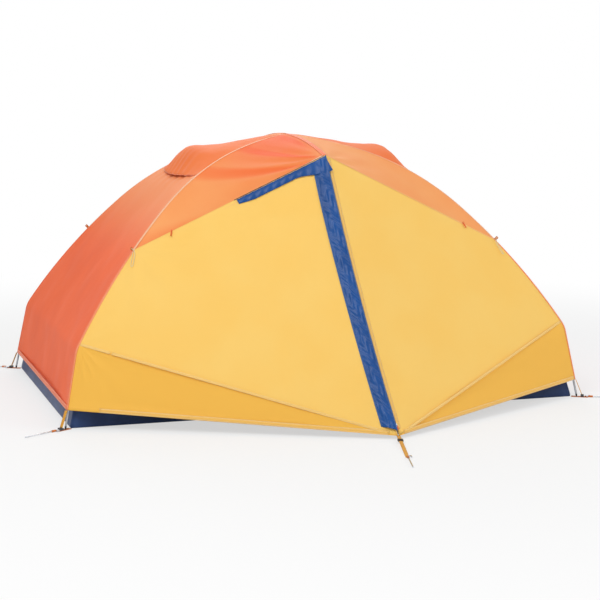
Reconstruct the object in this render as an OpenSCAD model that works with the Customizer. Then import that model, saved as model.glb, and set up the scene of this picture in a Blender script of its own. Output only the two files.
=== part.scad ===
// Two-person dome tent: two crossed main poles, a short brow pole over them,
// an inner tent hung from the poles on clips, and a flysheet with a vestibule on each long side.
// Millimetres, +Z up, origin on the ground under the peak, +X along the length of the floor.
// The back half is the front half turned 180 degrees about Z.

/* [Floor] */
// Length of the floor
floor_l = 2240; // [1870:1:2700]
// Width of the floor
floor_w = 1358; // [1130:1:1640]
// Thickness of the coated floor fabric
floor_t = 1.2; // [0.8:0.1:2]
// Height of the tub wall round the floor
tub_h = 150; // [80:1:200]

/* [Poles] */
// Height of the lower main pole's axis where the poles cross
pole_h = 1108; // [920:1:1340]
// Outer diameter of the pole tubes
pole_d = 8.5; // [7:0.1:11]
// Wall of the pole tubes
pole_wall = 0.6; // [0.4:0.1:1]
// Distance from the floor's corner to the pole's foot
foot_gap = 25; // [15:1:40]
// Rise of the upper main pole over the lower one at the crossing
cross_rise = 10; // [9:0.5:14]
// Rise of the brow pole over the upper main pole at the crossing
brow_rise = 18; // [12:0.5:24]
// Slope of a main pole where its top bend ends
top_angle = 40; // [36:0.1:43]
// Slope of a main pole where its shoulder ends
low_angle = 54.4; // [50:0.1:58]
// Slope of the straight leg
leg_angle = 77.2; // [72:0.1:82]
// Radius of the bend above the leg
knee_r = 116; // [90:1:180]
// Length of the straight leg
leg_l = 298; // [240:1:350]
// Half the length of the brow pole, measured level
brow_half = 540; // [440:1:640]
// Radius that the brow pole is bent to
brow_r = 2250; // [1800:10:3000]
// Length of the inserts that join the pole segments
ferrule_l = 90; // [60:1:120]
// Diameter of the elastic cord inside the poles
shock_d = 2.5; // [2:0.1:3]

/* [Flysheet] */
// Thickness of the fly fabric
fly_t = 0.6; // [0.4:0.1:1]
// Gap from a pole to the fly over it
fly_gap = 4.5; // [4:0.1:6]
// Height of the fly's hem at its four corners
hem_z = 78; // [50:1:120]
// Depth of the vestibule, from the floor's edge to the tip of the door
vestibule_l = 555; // [450:1:700]
// Distance that the tip of the door stands to the right of the peak
tip_x = 78; // [0:1:160]
// Height of the hem at the tip of the door
tip_z = 14; // [10:1:40]
// Inward sag of the zip between its ends
zip_sag = 25; // [10:1:40]
// Share of the vestibule's top edge, from its corner, where the door's zip ends
zip_end = 0.517; // [0.4:0.001:0.6]
// Share of the lower seam, from the knee, where the open door folds
fold_share = 0.1; // [0.05:0.01:0.15]
// Width of the storm flap over the zip
flap_w = 55; // [40:1:70]
// Height of the storm flap over the zip
flap_lift = 16; // [14:1:20]

/* [Inner tent] */
// Thickness of the inner tent's fabric
inner_t = 0.6; // [0.4:0.1:1]
// Distance from a main pole's axis down to the inner tent
clip_drop = 30; // [22:1:45]
// Distance from the brow pole's axis down to the inner tent
brow_drop = 58; // [52:1:75]
// Width of the inner door
door_w = 760; // [600:1:820]
// Height of the inner door's straight hinge edge
door_side_h = 430; // [300:1:460]
// Height of the inner door at its middle
door_h = 700; // [560:1:720]
// Height of the sill under the inner door
sill_h = 40; // [25:1:80]

/* [Fittings] */
// Width of the corner webbing
web_w = 25; // [20:1:30]
// Width of the narrow webbing on the fly
strap_w = 15; // [12:1:20]
// Thickness of the webbing
web_t = 1.2; // [1:0.1:2]
// Radius of the hole in a corner's grommet
grommet_r = 4.5; // [4:0.1:5.5]
// Diameter of a peg
peg_d = 5.4; // [4:0.1:7]
// Length of a peg
peg_l = 160; // [130:1:200]
// Diameter of the guy cord loops
cord_d = 2.4; // [2:0.1:3]

/* [Hidden] */
$fn = 48;

// Clearances: a seam between two fabric pieces, one where they lie flat, a panel's corner at the door's tip,
// a seat, and a sliding fit
seam = 0.65;
flat_seam = 0.4;
fan_gap = 6;
seat = 0.3;
slip = 0.1;
pole_r = pole_d/2;
bore_r = pole_r - pole_wall;
corner = [floor_l/2, floor_w/2];
diagonal = atan2(corner[1], corner[0]);
corner_s = norm(corner);
foot_s = corner_s + foot_gap;
heights = [pole_h, pole_h + cross_rise];
brow_z = heights[1] + brow_rise;
fly_off = pole_r + fly_gap + fly_t;
// Steps of a pole's line: to 10 on the top bend, to 15 on the shoulder, to 18 round the knee, 19 at the hem
brim_k = 7;
join_k = 12;
knee_k = 15;
leg_k = 18;
hem_k = 19;
join_share = 0.32;
crown_k = 0.15;
lift_s = 320;
cut = 0.15;
// Rise and overhang of the vent hood's middle over a straight line between the poles, at steps 0 to 7
hood_rise = [0, 3, 6, 15, 24, 42, 60, -12];
hood_out = [0, 0, 0, 0, 0, 8, 28, 45];
// Loop of guy cord from the hole in its tab, down the fabric and back: down, across and out, from the seam
guy_route = [
    [-2, 4, 10], [-1, 1.5, 11.3], [2, -5, 11.5], [9, -10, 9], [18, -13, 6.5], [30, -14, 5.5],
    [44, -14, 5.5], [58, -14, 5.5], [72, -13.5, 5.5], [79, -12, 5.5], [82, -9, 5.5], [79, -6, 5.5],
    [72, -4.5, 5.5], [58, -4, 5.5], [44, -4, 5.5], [30, -4, 5.5], [20, -4, 6], [10, -4, 7], [3, -4, 8.2],
    [0.6, -2, 7.5], [-0.8, 1.5, 5.8]
];

// ---- Lines of the frame ----

function unit(v) = v/norm(v);
function lerp(a, b, u) = a + (b - a)*u;
function toward(p, q, d) = p + (q - p)*d/norm(q - p);

// Radii of a main pole's top bend and shoulder that bring its axis from height h down to the foot
function bends(h) =
    let (s_top = sin(top_angle),
         s_low = sin(low_angle) - s_top,
         z_top = 1 - cos(top_angle),
         z_low = cos(top_angle) - cos(low_angle),
         s = foot_s - knee_r*(sin(leg_angle) - sin(low_angle)) - leg_l*cos(leg_angle),
         z = h - knee_r*(cos(low_angle) - cos(leg_angle)) - leg_l*sin(leg_angle),
         det = s_top*z_low - s_low*z_top)
    [(s*z_low - s_low*z)/det, (s_top*z - z_top*s)/det];

// Centres [s, z] of the top bend, the shoulder and the knee
function centres(h) =
    let (r = bends(h),
         top = [0, h - r[0]],
         low = top + (r[0] - r[1])*[sin(top_angle), cos(top_angle)],
         knee = low + (r[1] - knee_r)*[sin(low_angle), cos(low_angle)])
    [top, low, knee];

// Slope of the pole at step k
function slope(k) =
    let (low = low_angle - top_angle,
         mid = 10 + (join_k - 10),
         share = k <= mid ? join_share*(k - 10)/2 : join_share + (1 - join_share)*(k - mid)/3)
    k <= 10 ? top_angle*k/10
    : k <= 15 ? top_angle + low*share
    : k <= leg_k ? low_angle + (leg_angle - low_angle)*(k - 15)/3
    : leg_angle;

// Point [s, z] at step k of the line that runs off outside a pole's axis
function pole_point(h, k, off) =
    let (t = slope(k),
         c = centres(h),
         r = bends(h),
         n = [sin(t), cos(t)])
    k <= 10 ? c[0] + (r[0] + off)*n
    : k <= 15 ? c[1] + (r[1] + off)*n
    : c[2] + (knee_r + off)*n;

// Point [s, z] on the leg at height z of the line off outside its axis
function leg_point(z, off) = [foot_s + off/sin(leg_angle) - z/tan(leg_angle), z];

// A point [s, z] over the diagonal that runs to the corner with signs sx and sy
function on_diagonal(p, sx, sy) = [sx*p[0]*cos(diagonal), sy*p[0]*sin(diagonal), p[1]];

// The fly's seam over a main pole, lifted near the peak by the brow pole
function crease_sz(k) =
    let (p = k < hem_k ? pole_point(heights[1], k, fly_off) : leg_point(hem_z, fly_off),
         lift = p[0] < lift_s ? brow_rise*pow(1 - p[0]/lift_s, 2) : 0)
    [p[0], p[1] + lift];
function crease(k, sx, sy) = on_diagonal(crease_sz(k), sx, sy);

// The inner tent's edge under a main pole; pole A runs to the corners whose signs match
function inner_edge(k, sx, sy) =
    let (h = heights[sx*sy > 0 ? 0 : 1])
    on_diagonal(k < hem_k ? pole_point(h, k, -clip_drop) : leg_point(tub_h + seam, -clip_drop), sx, sy);

// Point over the middle of the tent on a line off outside the brow pole, y from the peak, front is negative
function brow_point(y, off) = [0, -y, brow_z - brow_r + sqrt(pow(brow_r + off, 2) - y*y)];

apex_y = brow_half + 12;
apex = brow_point(apex_y, fly_off);
tip = [tip_x, -floor_w/2 - vestibule_l, tip_z];
join_l = crease(join_k, -1, -1);
join_r = crease(join_k, 1, -1);
zip_top = lerp(join_l, apex, zip_end);
knee_l = crease(knee_k, -1, -1);
hem_l = crease(hem_k, -1, -1);
fold = lerp(knee_l, tip, fold_share);

// The zip is an arc in the upright plane through the apex and the tip: q runs level from the apex
zip_level = norm([tip[0] - apex[0], tip[1] - apex[1]]);
zip_turn = atan2(tip[1] - apex[1], tip[0] - apex[0]);
zip_chord = [zip_level, tip[2] - apex[2]];
zip_c = norm(zip_chord);
zip_r = zip_c*zip_c/(8*zip_sag) + zip_sag/2;
zip_out = [-zip_chord[1], zip_chord[0]]/zip_c;
zip_centre = [0, apex[2]] + zip_chord/2 + zip_out*(zip_r - zip_sag);
zip_half = asin(zip_c/2/zip_r);
zip_from = atan2(-zip_out[1], -zip_out[0]) - zip_half;
function zip_point(v) =
    let (a = zip_from + 2*zip_half*v,
         q = zip_centre + zip_r*[cos(a), sin(a)])
    [q[0]*cos(zip_turn), apex[1] + q[0]*sin(zip_turn), q[1]];

// ---- Fabric ----

// Grid with a row for each pair of points in a and b, its edges moved in by da and db
function ruled(a, b, da, db) = [for (i = [0:len(a) - 1]) [toward(a[i], b[i], da), toward(b[i], a[i], db)]];

// Grid whose first and last rows are moved in by d0 and d1
function trimmed(g, d0, d1) =
    let (n = len(g) - 1)
    [for (i = [0:n]) [for (j = [0:len(g[0]) - 1])
        i == 0 ? toward(g[0][j], g[1][j], d0)
        : i == n ? toward(g[n][j], g[n - 1][j], d1)
        : g[i][j]]];

// Grid from a row of points towards one point, ending just short of it
function fan(a, p, da) = [for (q = a) [toward(q, p, da), toward(p, q, fan_gap)]];

// Grid with a column added halfway between the two of each row
function halved(g) = [for (row = g) [row[0], (row[0] + row[1])/2, row[1]]];

function normal_at(g, i, j) =
    let (n = len(g) - 1,
         m = len(g[0]) - 1)
    unit(cross(g[min(i + 1, n)][j] - g[max(i - 1, 0)][j], g[i][min(j + 1, m)] - g[i][max(j - 1, 0)]));

// Grid with its rows in the order that makes its normals point away from the tent's middle line
function outward(g) =
    let (i = floor(len(g)/2))
    normal_at(g, i, 0)*(g[i][0] - [0, 0, 300]) > 0 ? g : [for (k = [len(g) - 1:-1:0]) g[k]];
// Grid raised outwards, each column by its own height in d
function raised(g, d) =
    let (h = outward(g))
    [for (i = [0:len(h) - 1]) [for (j = [0:len(h[0]) - 1]) h[i][j] + d[j]*normal_at(h, i, j)]];

function quad(a, b, c, d) = [[a, b, c], [a, c, d]];

// Closed sheet: the grid is its outer face, and it is t thick inwards
module sheet(grid, t) {
    g = outward(grid);
    n = len(g) - 1;
    m = len(g[0]) - 1;
    w = m + 1;
    under = (n + 1)*w;
    points = concat(
        [for (row = g) for (p = row) p],
        [for (i = [0:n]) for (j = [0:m]) g[i][j] - t*normal_at(g, i, j)]);
    faces = concat(
        [for (i = [0:n - 1]) for (j = [0:m - 1]) let (a = i*w + j) each quad(a, a + 1, a + w + 1, a + w)],
        [for (i = [0:n - 1]) for (j = [0:m - 1])
            let (a = under + i*w + j)
            each quad(a, a + w, a + w + 1, a + 1)],
        [for (i = [0:n - 1]) let (a = i*w) each quad(a, a + w, a + w + under, a + under)],
        [for (i = [0:n - 1]) let (a = i*w + m) each quad(a + w, a, a + under, a + w + under)],
        [for (j = [0:m - 1]) each quad(j + 1, j, j + under, j + 1 + under)],
        [for (j = [0:m - 1]) let (a = n*w + j) each quad(a, a + 1, a + 1 + under, a + under)]);
    polyhedron(points, faces, convexity = 6);
}

// Closed tube of radius r along a list of points, with flat ends
module tube(points, r, sides = 8) {
    n = len(points) - 1;
    rings = [for (i = [0:n])
        let (d = unit(points[min(i + 1, n)] - points[max(i - 1, 0)]),
             side = unit(cross(d, [0.31, 0.67, 0.67])),
             up = cross(side, d))
        for (j = [0:sides - 1])
            points[i] + r*(side*cos(360*j/sides) + up*sin(360*j/sides))];
    walls = [for (i = [0:n - 1]) for (j = [0:sides - 1])
        let (a = i*sides + j,
             b = i*sides + (j + 1)%sides)
        each quad(a, b, b + sides, a + sides)];
    faces = concat([[for (j = [sides - 1:-1:0]) j]], walls, [[for (j = [0:sides - 1]) n*sides + j]]);
    polyhedron(rings, faces, convexity = 4);
}

module half_turn() { rotate([0, 0, 180]) children(); }
module both_sides() {
    children();
    half_turn() children();
}
// Draws its children in the upright plane of each corner: X outwards from the peak, Z up
module each_corner() {
    for (a = [diagonal, 180 - diagonal, 180 + diagonal, -diagonal])
        rotate([0, 0, a]) children();
}
module on_front_left() { rotate([0, 0, 180 + diagonal]) children(); }
module on_front_right() { rotate([0, 0, -diagonal]) children(); }

// ---- Poles ----

bend_fn = 300;
tube_fn = 24;

// Piece of a bend from slope t0 to t1, in the upright plane: centre c, radius r, profile drawn at the origin
module bend(c, r, t0, t1) {
    translate([c[0], 0, c[1]])
        rotate([90, 0, 0])
            rotate([0, 0, 90 - t1])
                rotate_extrude(angle = t1 - t0, $fn = bend_fn)
                    translate([r, 0])
                        children();
}
// Straight piece along the leg, from a to b measured down from the knee
module leg_piece(h, a, b, ro, ri) {
    top = pole_point(h, leg_k, 0);
    translate([top[0], 0, top[1]])
        rotate([0, leg_angle, 0])
            rotate([0, 90, 0])
                translate([0, 0, a])
                    ring(b - a, ro, ri);
}
module ring(l, ro, ri) {
    difference() {
        cylinder(h = l, r = ro);
        if (ri > 0) translate([0, 0, -1]) cylinder(h = l + 2, r = ri);
    }
}
module wall_of(ro, ri) {
    difference() {
        circle(r = ro, $fn = tube_fn);
        if (ri > 0) circle(r = ri, $fn = tube_fn);
    }
}

butt = 0.15;
tip_l = 14;
top_step = top_angle/5;
low_mid = (top_angle + low_angle)/2;
function turn_for(l, r) = l/r*180/PI;

// Lengths of tube along one half of a main pole: which bend, and the slopes where each begins and ends
TUBES = [
    [0, top_step, 3*top_step], [0, 3*top_step, top_angle],
    [1, top_angle, low_mid], [1, low_mid, low_angle],
    [2, low_angle, leg_angle]
];
// Draws such lengths, each held back by the same gap at its ends
module lengths(h, runs, ro, ri) {
    c = centres(h);
    r = concat(bends(h), [knee_r]);
    for (run = runs)
        let (i = run[0],
             gap = turn_for(butt, r[i]))
            bend(c[i], r[i], run[1] + gap, run[2] - gap) wall_of(ro, ri);
}
module pole_half(h) {
    lengths(h, TUBES, pole_r, bore_r);
    leg_piece(h, butt, leg_l - tip_l, pole_r, bore_r);
}
module main_pole(h) {
    lengths(h, [[0, -top_step, top_step]], pole_r, bore_r);
    pole_half(h);
    half_turn() pole_half(h);
}
module pole_a() { color("#b9bcc2") rotate([0, 0, diagonal]) main_pole(heights[0]); }
module pole_b() { color("#b9bcc2") rotate([0, 0, -diagonal]) main_pole(heights[1]); }

brow_turn = asin(brow_half/brow_r);
brow_split = brow_turn*0.37;
// Piece of the brow pole from turn t0 to t1 of its one bend
module brow_bend(t0, t1) { rotate([0, 0, 90]) bend([0, brow_z - brow_r], brow_r, t0, t1) children(); }
module brow_pole() {
    g = turn_for(butt, brow_r);
    cap = turn_for(tip_l, brow_r);
    color("#b9bcc2") {
        brow_bend(-brow_split + g, brow_split - g) wall_of(pole_r, bore_r);
        both_sides() brow_bend(brow_split + g, brow_turn - cap) wall_of(pole_r, bore_r);
    }
}

insert_r = bore_r - slip;
insert_bore = shock_d/2 + 0.75;
// Inserts at the joints of one half of a main pole; one that crosses two bends is drawn as two halves
module ferrules_of(h) {
    r = bends(h);
    t0 = turn_for(ferrule_l/2, r[0]);
    t1 = turn_for(ferrule_l/2, r[1]);
    elbow = (leg_angle - low_angle)/2;
    runs = [
        [0, top_step - t0, top_step + t0], [0, 3*top_step - t0, 3*top_step + t0],
        [0, top_angle - t0, top_angle], [1, top_angle, top_angle + t1],
        [1, low_mid - t1, low_mid + t1], [1, low_angle - t1, low_angle],
        [2, low_angle, low_angle + elbow], [2, leg_angle - elbow, leg_angle]
    ];
    lengths(h, runs, insert_r, insert_bore);
    leg_piece(h, butt, ferrule_l/2, insert_r, insert_bore);
}
module pole_ferrules() {
    tb = turn_for(ferrule_l/2, brow_r);
    color("#8d9096") {
        rotate([0, 0, diagonal]) both_sides() ferrules_of(heights[0]);
        rotate([0, 0, -diagonal]) both_sides() ferrules_of(heights[1]);
        both_sides() brow_bend(brow_split - tb, brow_split + tb) wall_of(insert_r, insert_bore);
    }
}

// End plug: a spigot inside the tube, a shoulder as wide as the tube and a pin for the grommet
plug_l = 18;
pin_r = 2.4;
module end_plug(nose) {
    ring(plug_l, insert_r, insert_bore);
    translate([0, 0, plug_l]) cylinder(h = 3, r = pole_r);
    translate([0, 0, plug_l + 3]) cylinder(h = nose, r1 = pole_r, r2 = pin_r);
}
module pole_tips() {
    top = pole_point(heights[0], leg_k, 0);
    nose = tip_l - 3 - 1;
    color("#3c3d40") {
        each_corner()
            translate([top[0], 0, top[1]])
                rotate([0, leg_angle, 0])
                    rotate([0, 90, 0])
                        translate([0, 0, leg_l - tip_l - plug_l + butt])
                            end_plug(nose);
        both_sides()
            rotate([0, 0, 90])
                translate([0, 0, brow_z - brow_r])
                    rotate([0, brow_turn - turn_for(tip_l, brow_r), 0])
                        translate([0, 0, brow_r])
                            rotate([0, 90, 0])
                                translate([0, 0, butt])
                                    end_cap();
    }
}
// Cap over the brow pole's end, with a short spigot
module end_cap() {
    translate([0, 0, -8]) ring(8, insert_r, insert_bore);
    cylinder(h = tip_l - 2, r = pole_r);
}

// Elastic cord through one half of a main pole, drawn as one length in each bend
module cord_half(h) {
    lengths(h, [[0, 0, top_angle], [1, top_angle, low_angle], [2, low_angle, leg_angle]], shock_d/2, 0);
    leg_piece(h, butt, leg_l - tip_l - plug_l + 6, shock_d/2, 0);
}
module shock_cords() {
    end = brow_turn - turn_for(tip_l + 2, brow_r);
    color("#26282c") {
        rotate([0, 0, diagonal]) both_sides() cord_half(heights[0]);
        rotate([0, 0, -diagonal]) both_sides() cord_half(heights[1]);
        brow_bend(-end, end) circle(d = shock_d, $fn = tube_fn);
    }
}

// Hub at the crossing: three channels, open below pole A and above the brow pole
hub_r = 20;
hub_clear = 0.4;
module channel(z, open) {
    r = pole_r + hub_clear;
    translate([0, 0, z]) rotate([0, 90, 0]) cylinder(h = 3*hub_r, r = r, center = true);
    translate([-1.5*hub_r, -r, open > 0 ? z : z - 3*pole_d]) cube([3*hub_r, 2*r, 3*pole_d]);
}
module crossing_hub() {
    low = heights[0] - 0.6;
    color("#2b2c2f")
        difference() {
            translate([0, 0, low]) cylinder(h = brow_z - low, r = hub_r);
            rotate([0, 0, diagonal]) channel(heights[0], -1);
            rotate([0, 0, -diagonal])
                translate([0, 0, heights[1]])
                    rotate([0, 90, 0])
                        cylinder(h = 3*hub_r, r = pole_r + hub_clear, center = true);
            rotate([0, 0, 90]) channel(brow_z, 1);
        }
}

// Hook clip: X along the pole, Z away from the tent; its stem ends on the fabric at depth drop
clip_l = 12;
clip_wall = 1.2;
module clip(drop) {
    ri = pole_r + seat;
    ro = ri + clip_wall;
    difference() {
        union() {
            rotate([0, 90, 0]) cylinder(h = clip_l, r = ro, center = true);
            translate([-clip_l/2, -1.5, -drop + seat]) cube([clip_l, 3, drop - seat - pole_r]);
        }
        rotate([0, 90, 0]) cylinder(h = clip_l + 2, r = ri, center = true);
        translate([-clip_l, 0, -pole_r*0.6]) cube([2*clip_l, 2*ro, pole_r*1.2]);
    }
}
module clip_at(h, k) {
    p = pole_point(h, k, 0);
    translate([p[0], 0, p[1]]) rotate([0, slope(k), 0]) clip(clip_drop);
}
module pole_clips() {
    color("#3a3b3f") {
        for (k = [3, 6, 9, join_k, 15, leg_k]) {
            rotate([0, 0, diagonal]) both_sides() clip_at(heights[0], k);
            rotate([0, 0, -diagonal]) both_sides() clip_at(heights[1], k);
        }
        for (t = [0.45, 0.8])
            both_sides()
                rotate([0, 0, 90])
                    translate([0, 0, brow_z - brow_r])
                        rotate([0, brow_turn*t, 0])
                            translate([0, 0, brow_r])
                                clip(brow_drop);
    }
}

// ---- Inner tent ----

tub_edge = leg_point(tub_h, -clip_drop);
tub_top = [tub_edge[0]*cos(diagonal), tub_edge[0]*sin(diagonal)];
// Four-sided block that narrows from the floor's outline to the tub's top edge, moved in by d
module tub_block(d, z0, z1) {
    lean = [corner[0] - tub_top[0], corner[1] - tub_top[1]]/tub_h;
    a = corner - lean*z0 - [d, d];
    b = corner - lean*z1 - [d, d];
    points = concat(
        [for (p = [[-1, -1], [1, -1], [1, 1], [-1, 1]]) [p[0]*a[0], p[1]*a[1], z0]],
        [for (p = [[-1, -1], [1, -1], [1, 1], [-1, 1]]) [p[0]*b[0], p[1]*b[1], z1]]);
    polyhedron(points, [[0, 1, 2, 3], [7, 6, 5, 4], [4, 5, 1, 0], [5, 6, 2, 1], [6, 7, 3, 2], [7, 4, 0, 3]]);
}
module floor_tub() {
    color("#2d3a63")
        difference() {
            tub_block(0, 0, tub_h);
            tub_block(floor_t, floor_t, tub_h + 1);
        }
}

inner_rows = concat([crown_k], [for (k = [1:hem_k]) k]);
// End wall between the two poles' edges, from the crown to the tub
module inner_end() {
    near = [for (k = inner_rows) inner_edge(k, -1, -1)];
    far = [for (k = inner_rows) inner_edge(k, -1, 1)];
    g = ruled(near, far, seam, seam);
    color("#e9e3d4") sheet(trimmed(g, seam, 0), inner_t);
}

inner_apex = brow_point(brow_half - 10, -brow_drop);
function inner_ridge(k) = brow_point((brow_half - 10)*k/join_k, -brow_drop);
roof_rows = concat([crown_k], [for (k = [1:join_k]) k]);
module inner_roof_half(sx) {
    top = [for (k = roof_rows) inner_ridge(k)];
    edge = [for (k = roof_rows) inner_edge(k, sx, -1)];
    g = ruled(top, edge, flat_seam, seam);
    sheet(trimmed(g, 0, seam), inner_t);
}
module inner_roof() {
    color("#f1ede2")
        both_sides() {
            inner_roof_half(-1);
            inner_roof_half(1);
        }
}

// Plane of the side wall: X along the tent, Y up the wall, Z outwards, origin at the tub's top edge
wall_base = [0, -tub_top[1], tub_h + seam];
wall_rise = inner_apex - wall_base;
wall_tilt = atan2(wall_rise[1], wall_rise[2]);
wall_h = norm(wall_rise);
module on_wall() { translate(wall_base) rotate([90 - wall_tilt, 0, 0]) children(); }
door_crown = 60;
function door_outline(d) = [
    [-door_w/2 + d, sill_h + d], [door_w/2 - d, sill_h + d], [door_w/2 - d, sill_h + door_side_h - d/2],
    [door_crown - d/2, sill_h + door_h - d], [-door_crown + d/2, sill_h + door_h - d],
    [-door_w/2 + d, sill_h + door_side_h - d/2]];
// Height of the wall's slanting edge at a distance x from its middle
function wall_edge(x) = (wall_h - seam)*(1 - x/(tub_top[0] - 3*seam));
// Wall round the door's opening, in pieces that a narrow seam keeps apart: foot, middle above the door,
// and for each side the part beside the door and the part over its slanting top
module wall_outline() {
    half = door_w/2;
    sides = sill_h + door_side_h;
    top = sill_h + door_h;
    translate([-half, 0]) square([door_w, sill_h]);
    polygon([[-door_crown, top], [door_crown, top], [door_crown, wall_edge(door_crown)], [0, wall_edge(0)],
             [-door_crown, wall_edge(door_crown)]]);
    for (sx = [-1, 1])
        scale([sx, 1]) {
            polygon([[half + cut, 0], [tub_top[0] - 3*seam, 0], [half + cut, wall_edge(half + cut)]]);
            polygon([[half, sides], [half, wall_edge(half)], [door_crown + cut, wall_edge(door_crown + cut)],
                     [door_crown + cut, top]]);
        }
}
// Plane wall with the door's opening, and a fabric gusset up to each pole
module inner_side() {
    last = hem_k - join_k;
    color("#e9e3d4") {
        on_wall()
            translate([0, 0, -inner_t])
                linear_extrude(height = inner_t) wall_outline();
        for (sx = [-1, 1]) {
            foot = inner_edge(hem_k, sx, -1);
            wall_line = [for (i = [0:last]) lerp(inner_apex, foot, i/last)];
            pole_line = [for (i = [0:last]) inner_edge(join_k + i, sx, -1)];
            g = ruled(pole_line, wall_line, seam, seam);
            rows = [for (i = [0:last]) i < last ? g[i] : near_foot(pole_line, wall_line, last)];
            sheet(trimmed(rows, seam, 0), inner_t);
        }
    }
}
// Last row of a gusset: just above the foot, where its two edges meet
function near_foot(a, b, i) =
    let (p = lerp(a[i - 1], a[i], 0.9),
         q = lerp(b[i - 1], b[i], 0.9))
    [toward(p, q, seam), toward(q, p, seam)];

module inner_door() {
    color("#dfe0de")
        on_wall()
            translate([0, 0, -inner_t])
                linear_extrude(height = inner_t)
                    polygon(door_outline(seam));
}

// ---- Flysheet ----

// End panel below the vent, between the two seams over the poles
panel_rows = [for (k = [brim_k:hem_k]) k];
module fly_end() {
    g = ruled([for (k = panel_rows) crease(k, -1, -1)], [for (k = panel_rows) crease(k, -1, 1)], seam, seam);
    color("#f8743f") sheet(trimmed(g, seam, 0), fly_t);
}

// Vent hood: from the peak to its brim, arched between the two seams and standing out at the brim
hood_rows = concat([crown_k], [for (k = [1:brim_k]) k]);
hood_cols = [for (i = [-3:3]) i/3];
module vent_hood() {
    g = [for (k = hood_rows)
        let (a = crease(k, -1, -1),
             b = crease(k, -1, 1),
             e = (norm(b - a)/2 - seam)/(norm(b - a)/2),
             i = round(k))
        [for (w = hood_cols)
            lerp(a, b, (w*e + 1)/2) + (1 - w*w)*[-hood_out[i], 0, hood_rise[i]]]];
    color("#f98a4e") sheet(trimmed(g, 0, 2*seam), fly_t);
}
brim = crease_sz(brim_k);
brim_x = brim[0]*cos(diagonal);
brim_y = brim[0]*sin(diagonal);
// Mesh in the vent, standing on the end panel's top edge
vent_h = 40;
module vent_mesh_one() {
    translate([-brim_x + seat, 0, brim[1]])
        rotate([90, 0, 90])
            linear_extrude(height = 0.8)
                polygon([[-0.72*brim_y, 0], [0.72*brim_y, 0], [0.3*brim_y, 0.75*vent_h], [0, vent_h],
                         [-0.3*brim_y, 0.75*vent_h]]);
}
module vent_mesh() { color("#c9c4b8") both_sides() vent_mesh_one(); }
// Stiff strip that props the hood: hinged under the hood, its foot on the end panel's top edge
prop_l = 40;
prop_w = 18;
prop_t = 1.6;
module vent_prop() {
    color("#4a4b50")
        translate([-brim_x - 3, -prop_w/2, brim[1] + seat])
            cube([prop_t, prop_w, prop_l]);
}

// Quarter of the roof between the ridge and one pole
function ridge(k) = brow_point(apex_y*k/join_k, fly_off);
module fly_roof_half(sx, edge) {
    g = ruled([for (k = roof_rows) ridge(k)], [for (k = roof_rows) crease(k, sx, -1)], flat_seam, seam);
    sheet(trimmed(g, 0, edge), fly_t);
}
// The left quarter's lower edge leaves room for the zip's coil
module fly_roof() {
    color("#f98a4e") {
        fly_roof_half(-1, 1.4*zip_gap);
        fly_roof_half(1, seam);
    }
}

// The zip's coil takes zip_gap on each side of its line
coil_r = 1.8;
zip_gap = coil_r + seat;
upper_rows = [for (k = [join_k:0.5:knee_k]) k];
lower_rows = [for (k = [knee_k:hem_k]) k];
lower_n = hem_k - knee_k;
function share_of(k) = (k - join_k)/(knee_k - join_k);
zip_line = [for (k = upper_rows) zip_point(share_of(k))];
fold_line = [for (k = upper_rows) lerp(zip_top, fold, share_of(k))];
fold_low = [for (i = [0:lower_n]) lerp(fold, hem_l, i/lower_n)];
// Fixed half of the vestibule: an upper panel and the lower panel under the seam from knee to tip
module vestibule() {
    upper = ruled([for (k = upper_rows) crease(k, 1, -1)], zip_line, seam, zip_gap);
    lower = fan([for (k = lower_rows) crease(k, 1, -1)], tip, seam);
    color("#fbc85f") {
        sheet(halved(trimmed(upper, seam, flat_seam)), fly_t);
        sheet(halved(trimmed(lower, flat_seam, 0)), fly_t);
    }
}
// Fixed fabric between the pole and the line that the door folds on
module door_gusset() {
    upper = ruled([for (k = upper_rows) crease(k, -1, -1)], fold_line, seam, seam);
    pole_line = [for (k = lower_rows) crease(k, -1, -1)];
    g = ruled(pole_line, fold_low, seam, seam);
    lower = [for (i = [0:lower_n]) i < lower_n ? g[i] : near_foot(pole_line, fold_low, i)];
    color("#fbc85f") {
        sheet(trimmed(upper, seam, flat_seam), fly_t);
        sheet(trimmed(lower, flat_seam, 0), fly_t);
    }
}
// Door: an upper panel from the fold to the zip, and the lower panel down to the hem
function door_upper() = ruled(fold_line, zip_line, seam, 1.3*zip_gap);
module fly_door() {
    color("#fcd070") {
        sheet(trimmed(door_upper(), 2.4*zip_gap, flat_seam), fly_t);
        sheet(trimmed(fan(fold_low, tip, seam), flat_seam, 0), fly_t);
    }
}
// Storm flap: a strip over the zip down the door's edge, sewn along its far side,
// and one under the roof's edge to the zip's end, sewn along the roof
flap_sewn = 12;
module storm_flap() {
    sewn = fly_t + seat;
    down = [for (r = door_upper())
        [toward(r[1], r[0], flap_w + flap_sewn), toward(r[1], r[0], flap_w), r[1]]];
    shares = [0.03, 0.25, 0.5, 0.75, 1];
    top_edge = [for (u = shares) lerp(zip_top, apex, u)];
    below = [for (u = shares) lerp(zip_top, lerp(apex, zip_point(1), flap_w/zip_c), u)];
    upper = trimmed(ruled(top_edge, below, 3*zip_gap, 0), 0, 0.6*flap_w);
    color("#1f5a9a") {
        sheet(raised(trimmed(down, flap_w + 2, 3), [sewn, flap_lift, flap_lift]), fly_t);
        sheet(raised(upper, [sewn + 0.5, flap_lift]), fly_t);
    }
}

module in_zip_plane() {
    translate([apex[0], apex[1], 0])
        rotate([0, 0, zip_turn])
            rotate([90, 0, 0])
                children();
}
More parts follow.
